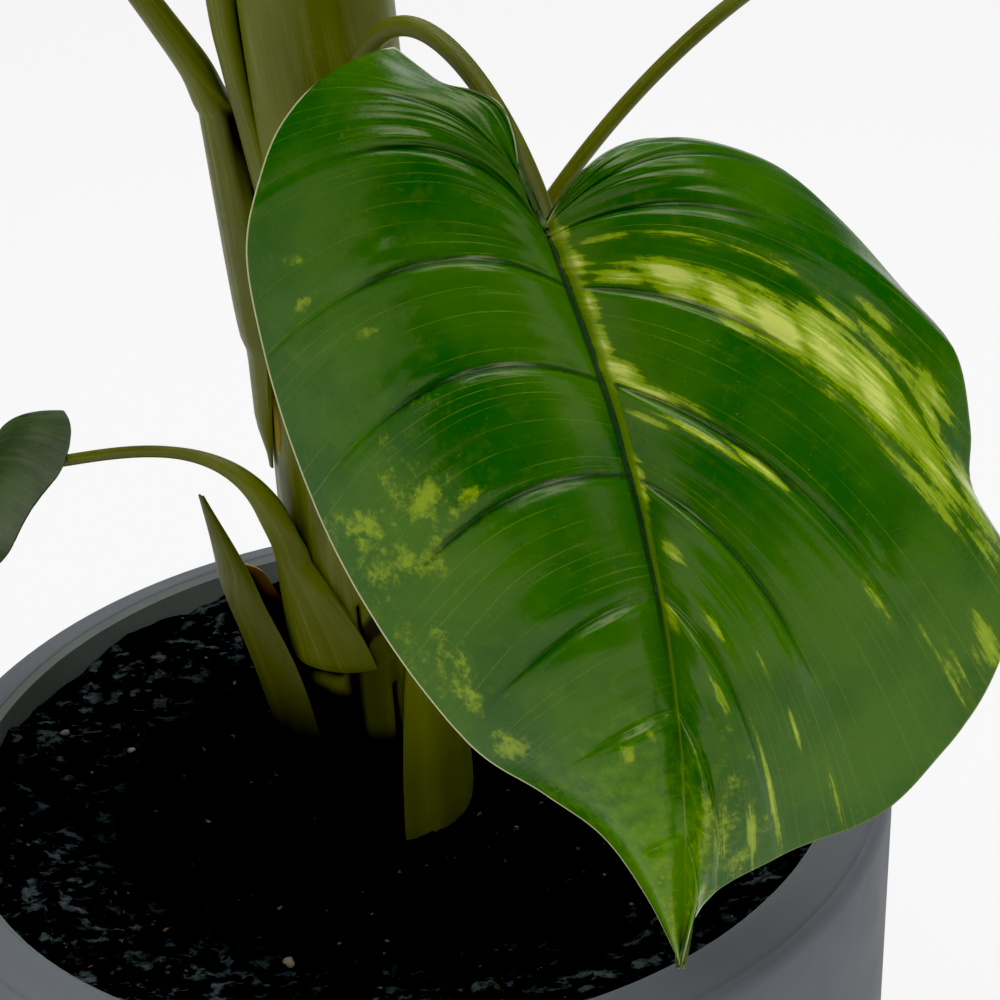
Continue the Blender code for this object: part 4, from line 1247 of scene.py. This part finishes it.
def make_trunk(material):
    """Stem with shallow ridges, painted shade in folds between its sheaths and at its foot, and a pointed
    shoot.
    """
    shoot = TRUNK_TOP - SHOOT_LENGTH
    low = SOIL_TOP - 0.010
    heights = [low + (DETAIL_TOP - low) * step / DETAIL_RINGS for step in range(DETAIL_RINGS)]
    heights += [DETAIL_TOP + (TRUNK_TOP - DETAIL_TOP) * step / UPPER_RINGS for step in range(UPPER_RINGS + 1)]
    rings = []
    for z in heights:
        share = 1.0
        if z > shoot:
            share = max(0.06, 1 - ((z - shoot) / SHOOT_LENGTH) ** 1.6)
        ring = []
        for spoke in range(TRUNK_SIDES):
            azimuth = 360 * spoke / TRUNK_SIDES
            ridge = TRUNK_RIDGE * noise.noise(Vector((azimuth * 0.11, z * 9, 0.0)))
            dent = SEAM_DEPTH * near_line(azimuth, z, STEM_SHADED_FOLDS)
            radius = trunk_radius(max(z, SOIL_TOP)) - TRUNK_SINK + ridge - dent
            ring.append(around_trunk(azimuth, radius * share, z))
        rings.append(ring)
    trunk = object_from("stem", lofted(rings), [material])
    join_plant(trunk, "stem", "trunk")
    mark_points(trunk, "painted_shade", lambda place: stem_painted_shade(*stem_place(place)))
    mark_points(trunk, "burn", lambda place: BURN_SHARE * near_line(*stem_place(place), STEM_BROWN))


def stem_place(place):
    """Azimuth in degrees round the stem's axis, and height."""
    return math.degrees(math.atan2(place.y, place.x - TRUNK_X)) % 360, place.z


def near_line(azimuth, z, lines):
    """How near a place on the stem is to one of the lines drawn on it, from 0 to 1."""
    best = 0.0
    for line in lines:
        for (low_z, low_azimuth, low_width), (high_z, high_azimuth, high_width) in zip(line, line[1:]):
            if low_z <= z <= high_z:
                share = (z - low_z) / (high_z - low_z)
                middle = low_azimuth + (high_azimuth - low_azimuth) * share
                width = low_width + (high_width - low_width) * share
                off = abs(azimuth - middle) * math.pi / 180 * trunk_radius(z)
                best = max(best, 1 - smooth(0.5 * width, width, off))
    return best


def stem_painted_shade(azimuth, z):
    """How much painted shade the stem has: in its folds, and at its foot under old sheaths."""
    dark = near_line(azimuth, z, STEM_SHADED_FOLDS)
    if FOOT_SHADE_FROM < azimuth < FOOT_SHADE_TO:
        dark = max(dark, foot_shade(azimuth, z))
    return dark


def foot_shade(azimuth, z):
    """How much painted shade the foot has: below its uneven edge, under the old sheath's rim and in the gap.
    """
    rim = FOOT_SHADE_RIM + 0.0150 * smooth(242, 288, azimuth)
    beside = smooth(FOOT_SHADE_FROM, 214, azimuth)
    half = 0.0010 + 0.0020 * smooth(240, 262, azimuth)
    under_rim = (1 - smooth(half, half + 0.0018, abs(z - rim))) * beside
    edge = FOOT_SHADE_EDGE - 0.0105 * smooth(258, 266, azimuth)
    edge += 0.0020 * noise.noise(Vector((azimuth * 0.07, 3.0, 0.0)))
    softness = 0.0020 + 0.0060 * smooth(262, 268, azimuth)
    foot = (1 - smooth(edge - softness, edge + softness, z)) * beside
    # Lit edges of old sheaths stay out of the painted shade
    foot *= 1 - 0.85 * near_line(azimuth, z, STEM_THREADS)
    gap = smooth(250, 258, azimuth) * (1 - smooth(262, 272, azimuth)) * (1 - smooth(0.2775, 0.2790, z))
    patch = 0.5 * smooth(262, 268, azimuth) * (1 - smooth(rim - 0.004, rim, z))
    return max(foot, under_rim, gap, patch)


def make_fold(material):
    """Raised fold that runs up the stem's left side."""
    rings = []
    for step in range(FOLD_RINGS + 1):
        z, azimuth, out, half_width, half_depth = smooth_row(STEM_FOLD, step / FOLD_RINGS)
        centre = around_trunk(azimuth, trunk_radius(z) + out, z)
        rings.append(oval(centre, sideways(azimuth), outward(azimuth), half_width, half_depth, FOLD_SIDES))
    fold = object_from("stem_fold", lofted(rings), [material])
    join_plant(fold, "stem")


def make_bract(material):
    """Pointed basal sheath at the stem's foot, with painted shade inside and low down, and a burnt edge along
    its opening.
    """
    rings = []
    for step in range(BRACT_RINGS + 1):
        z, lean, inner, half_width, thickness = smooth_row(BRACT, step / BRACT_RINGS)
        closed = smooth(0.292, 0.306, z)
        centre = Vector((TRUNK_X - lean, 0.15 * -lean, z))
        rings.append(crescent(centre, 187 + 36 * closed, half_width + 13 - 30 * closed, inner, thickness,
                              BRACT_SIDES, 0.3))
    bm = lofted(rings)
    spoke = bm.verts.layers.int["spoke"]
    painted_shade = bm.verts.layers.float.new("painted_shade")
    burn = bm.verts.layers.float.new("burn")
    for vert in bm.verts:
        z = vert.co.z
        inside = 1.0 if vert[spoke] >= BRACT_SIDES // 2 else 0.0
        # Painted shade on the bract's inside and towards its foot
        vert[painted_shade] = max(inside * (1 - 0.9 * smooth(0.304, 0.318, z)), 1 - 0.62 * smooth(0.247, 0.284, z))
        edge = max(1 - smooth(0, 5, vert[spoke]), smooth(BRACT_SIDES - 5, BRACT_SIDES - 1, vert[spoke]))
        vert[burn] = edge * smooth(0.278, 0.288, z) * (1 - smooth(0.306, 0.312, z))
    bract = object_from("basal_sheath", bm, [material])
    join_plant(bract, "stem", "basal_bract")


def stub_painted_light(place):
    """How much painted light the right sheath has at its foot: most along one band."""
    azimuth, z = stem_place(place)
    band = math.exp(-((azimuth - STUB_LIGHT_BAND) / STUB_LIGHT_BAND_WIDTH) ** 2)
    return (0.38 + 0.42 * band) * (1 - smooth(0.240, 0.310, z))


def cleft_shade(place):
    """How dark the left sheath is along the cleft between it and the stem's fold."""
    azimuth, z = stem_place(place)
    level = min(z, CLEFT_TOP)
    start = CLEFT_AZIMUTH + CLEFT_TURN * (CLEFT_TOP - level)
    start -= CLEFT_WIDENING * max(0.0, level - CLEFT_NARROWS)
    below_top = 1 - smooth(CLEFT_TOP + 0.0035, CLEFT_TOP + 0.0095, z)
    return smooth(start, start + 2.5, azimuth) * smooth(CLEFT_FOOT, CLEFT_FOOT + 0.007, z) * below_top


def make_stalks(sizes, material):
    """Every leaf stalk with its sheath."""
    for name, leaf, sheath, leave, arrive, widths in leaves():
        swelling = 0.0
        if name in STALK_FORMS:
            sheath, leave, widths, swelling = STALK_FORMS[name]
        rings = stalk_rings(leaf, sheath, leave, arrive, widths, sizes.stalk_sides, sizes.stalk_rings,
                            swelling)
        stalk = object_from(name + "_petiole", lofted(rings), [material])
        join_plant(stalk, "stem", name + "_stalk")
        if name == "leaf_04_left":
            mark_points(stalk, "painted_shade", cleft_shade)
        # Painted light at the foot of the right sheath
        if name == "leaf_02_right":
            mark_points(stalk, "tone", stub_painted_light)


def make_blades(sizes, colours):
    """Every leaf blade; the front one is finest."""
    materials = [leaf_material(colours), leaf_back_material(colours), leaf_edge_material(colours)]
    draw = random.Random(11)
    for name, leaf, *_ in leaves():
        front = name == "leaf_03_front"
        rows = sizes.front_rows if front else sizes.other_rows
        columns = sizes.front_columns if front else sizes.other_columns
        markings = MARKINGS if front else other_markings(draw)
        used = materials
        if name == "leaf_01_low_left":
            used = [young_leaf_material(), materials[1], materials[1]]
        blade = make_blade(name + "_lamina", leaf, rows, columns, markings, used)
        join_plant(blade, "leaf", name + "_blade")


def area_light(name, place, target, size, power):
    """A soft square light that faces a target."""
    data = bpy.data.lights.new(name, "AREA")
    data.size = size
    data.energy = power
    light = bpy.data.objects.new(name, data)
    light.location = place
    light.rotation_euler = (Vector(target) - Vector(place)).to_track_quat("-Z", "Y").to_euler()
    bpy.context.scene.collection.objects.link(light)


def make_floor(sizes, colours):
    """Pale floor that glows evenly."""
    bm = bmesh.new()
    bmesh.ops.create_grid(bm, x_segments=1, y_segments=1, size=12.0)
    paint = Recipe("floor", 0.9, 0.1)
    paint.shader.inputs["Emission Color"].default_value = (1.0, 1.0, 1.0, 1.0)
    paint.shader.inputs["Emission Strength"].default_value = sizes.floor_glow
    floor = object_from("floor", bm, [paint.finish(tuple(colours.floor))])


def make_surroundings():
    """White surroundings, dim as light on the plant and bright as the camera sees them."""
    world = bpy.data.worlds.new("studio")
    bpy.context.scene.world = world
    world.use_nodes = True
    nodes, links = world.node_tree.nodes, world.node_tree.links
    background = nodes["Background"]
    background.inputs["Color"].default_value = (1.0, 1.0, 1.0, 1.0)
    seen = nodes.new("ShaderNodeLightPath")
    strength = nodes.new("ShaderNodeMapRange")
    strength.inputs["To Min"].default_value = GLOW_AS_LIGHT
    strength.inputs["To Max"].default_value = GLOW_AS_SEEN
    links.new(seen.outputs["Is Camera Ray"], strength.inputs["Value"])
    links.new(strength.outputs[0], background.inputs["Strength"])


def make_camera(lens):
    """Camera at the viewing angle, close above the front of the plant, and the picture's tone curve."""
    data = bpy.data.cameras.new("camera")
    data.lens = lens
    data.sensor_width = SENSOR_WIDTH
    data.clip_start = 0.01
    camera = bpy.data.objects.new("camera", data)
    right, up, place = Vector(CAMERA_RIGHT), Vector(CAMERA_UP), Vector(CAMERA_PLACE)
    back = right.cross(up)
    camera.matrix_world = Matrix((
        (right.x, up.x, back.x, place.x), (right.y, up.y, back.y, place.y),
        (right.z, up.z, back.z, place.z), (0, 0, 0, 1)))
    bpy.context.scene.collection.objects.link(camera)
    bpy.context.scene.camera = camera
    grade = bpy.context.scene.view_settings
    grade.view_transform = "Standard"
    grade.use_curve_mapping = True
    grade.curve_mapping.black_level = (BLACK_LEVEL, BLACK_LEVEL, BLACK_LEVEL)
    grade.curve_mapping.update()


def make_stage(sizes, colours):
    """Pale floor, white surroundings, soft studio lights and the camera."""
    make_floor(sizes, colours)
    make_surroundings()
    for name, (place, target, size, power) in LIGHTS.items():
        area_light(name, place, target, size, power)
    make_camera(sizes.camera_lens)


def plant_settings(context):
    """The sizes and colours kept on the scene."""
    return context.scene.plant_sizes, context.scene.plant_colours


class PLANT_OT_pot(bpy.types.Operator):
    """Make the pot"""

    bl_idname = "plant.pot"
    bl_label = "Pot"

    def execute(self, context):
        make_pot(plant_settings(context)[1])
        return {"FINISHED"}


class PLANT_OT_soil(bpy.types.Operator):
    """Make the soil with its crumbs and pebbles"""

    bl_idname = "plant.soil"
    bl_label = "Soil"

    def execute(self, context):
        make_soil(plant_settings(context)[1])
        return {"FINISHED"}


class PLANT_OT_stems(bpy.types.Operator):
    """Make the stem, the basal bract and every leaf stalk"""

    bl_idname = "plant.stems"
    bl_label = "Stem and stalks"

    def execute(self, context):
        sizes, colours = plant_settings(context)
        material = stem_material(colours)
        make_trunk(material)
        make_fold(material)
        make_bract(material)
        make_stalks(sizes, material)
        return {"FINISHED"}


class PLANT_OT_blades(bpy.types.Operator):
    """Make every leaf blade"""

    bl_idname = "plant.blades"
    bl_label = "Leaf blades"

    def execute(self, context):
        make_blades(*plant_settings(context))
        return {"FINISHED"}


class PLANT_OT_stage(bpy.types.Operator):
    """Make the floor, the lights and the camera"""

    bl_idname = "plant.stage"
    bl_label = "Stage"

    def execute(self, context):
        make_stage(*plant_settings(context))
        return {"FINISHED"}


class PLANT_PT_panel(bpy.types.Panel):
    """Lists the plant's pieces, sizes and colours"""

    bl_label = "Potted elephant ear"
    bl_idname = "PLANT_PT_panel"
    bl_space_type = "VIEW_3D"
    bl_region_type = "UI"
    bl_category = "Plant"

    def draw(self, context):
        for operator in OPERATORS:
            self.layout.operator(operator.bl_idname)
        for group in plant_settings(context):
            for name in group.bl_rna.properties.keys():
                if name not in ("rna_type", "name"):
                    self.layout.prop(group, name)


OPERATORS = (PLANT_OT_pot, PLANT_OT_soil, PLANT_OT_stems, PLANT_OT_blades, PLANT_OT_stage)
CLASSES = (PlantSizes, PlantColours) + OPERATORS + (PLANT_PT_panel,)


def register():
    """Register the classes and keep the settings on the scene."""
    for cls in CLASSES:
        bpy.utils.register_class(cls)
    bpy.types.Scene.plant_sizes = bpy.props.PointerProperty(type=PlantSizes)
    bpy.types.Scene.plant_colours = bpy.props.PointerProperty(type=PlantColours)


def unregister():
    """Undo register."""
    del bpy.types.Scene.plant_colours
    del bpy.types.Scene.plant_sizes
    for cls in reversed(CLASSES):
        bpy.utils.unregister_class(cls)


def main():
    """Make every piece, then the stage."""
    register()
    bpy.ops.plant.pot()
    bpy.ops.plant.soil()
    bpy.ops.plant.stems()
    bpy.ops.plant.blades()
    bpy.ops.plant.stage()


if __name__ == "__main__":
    main()
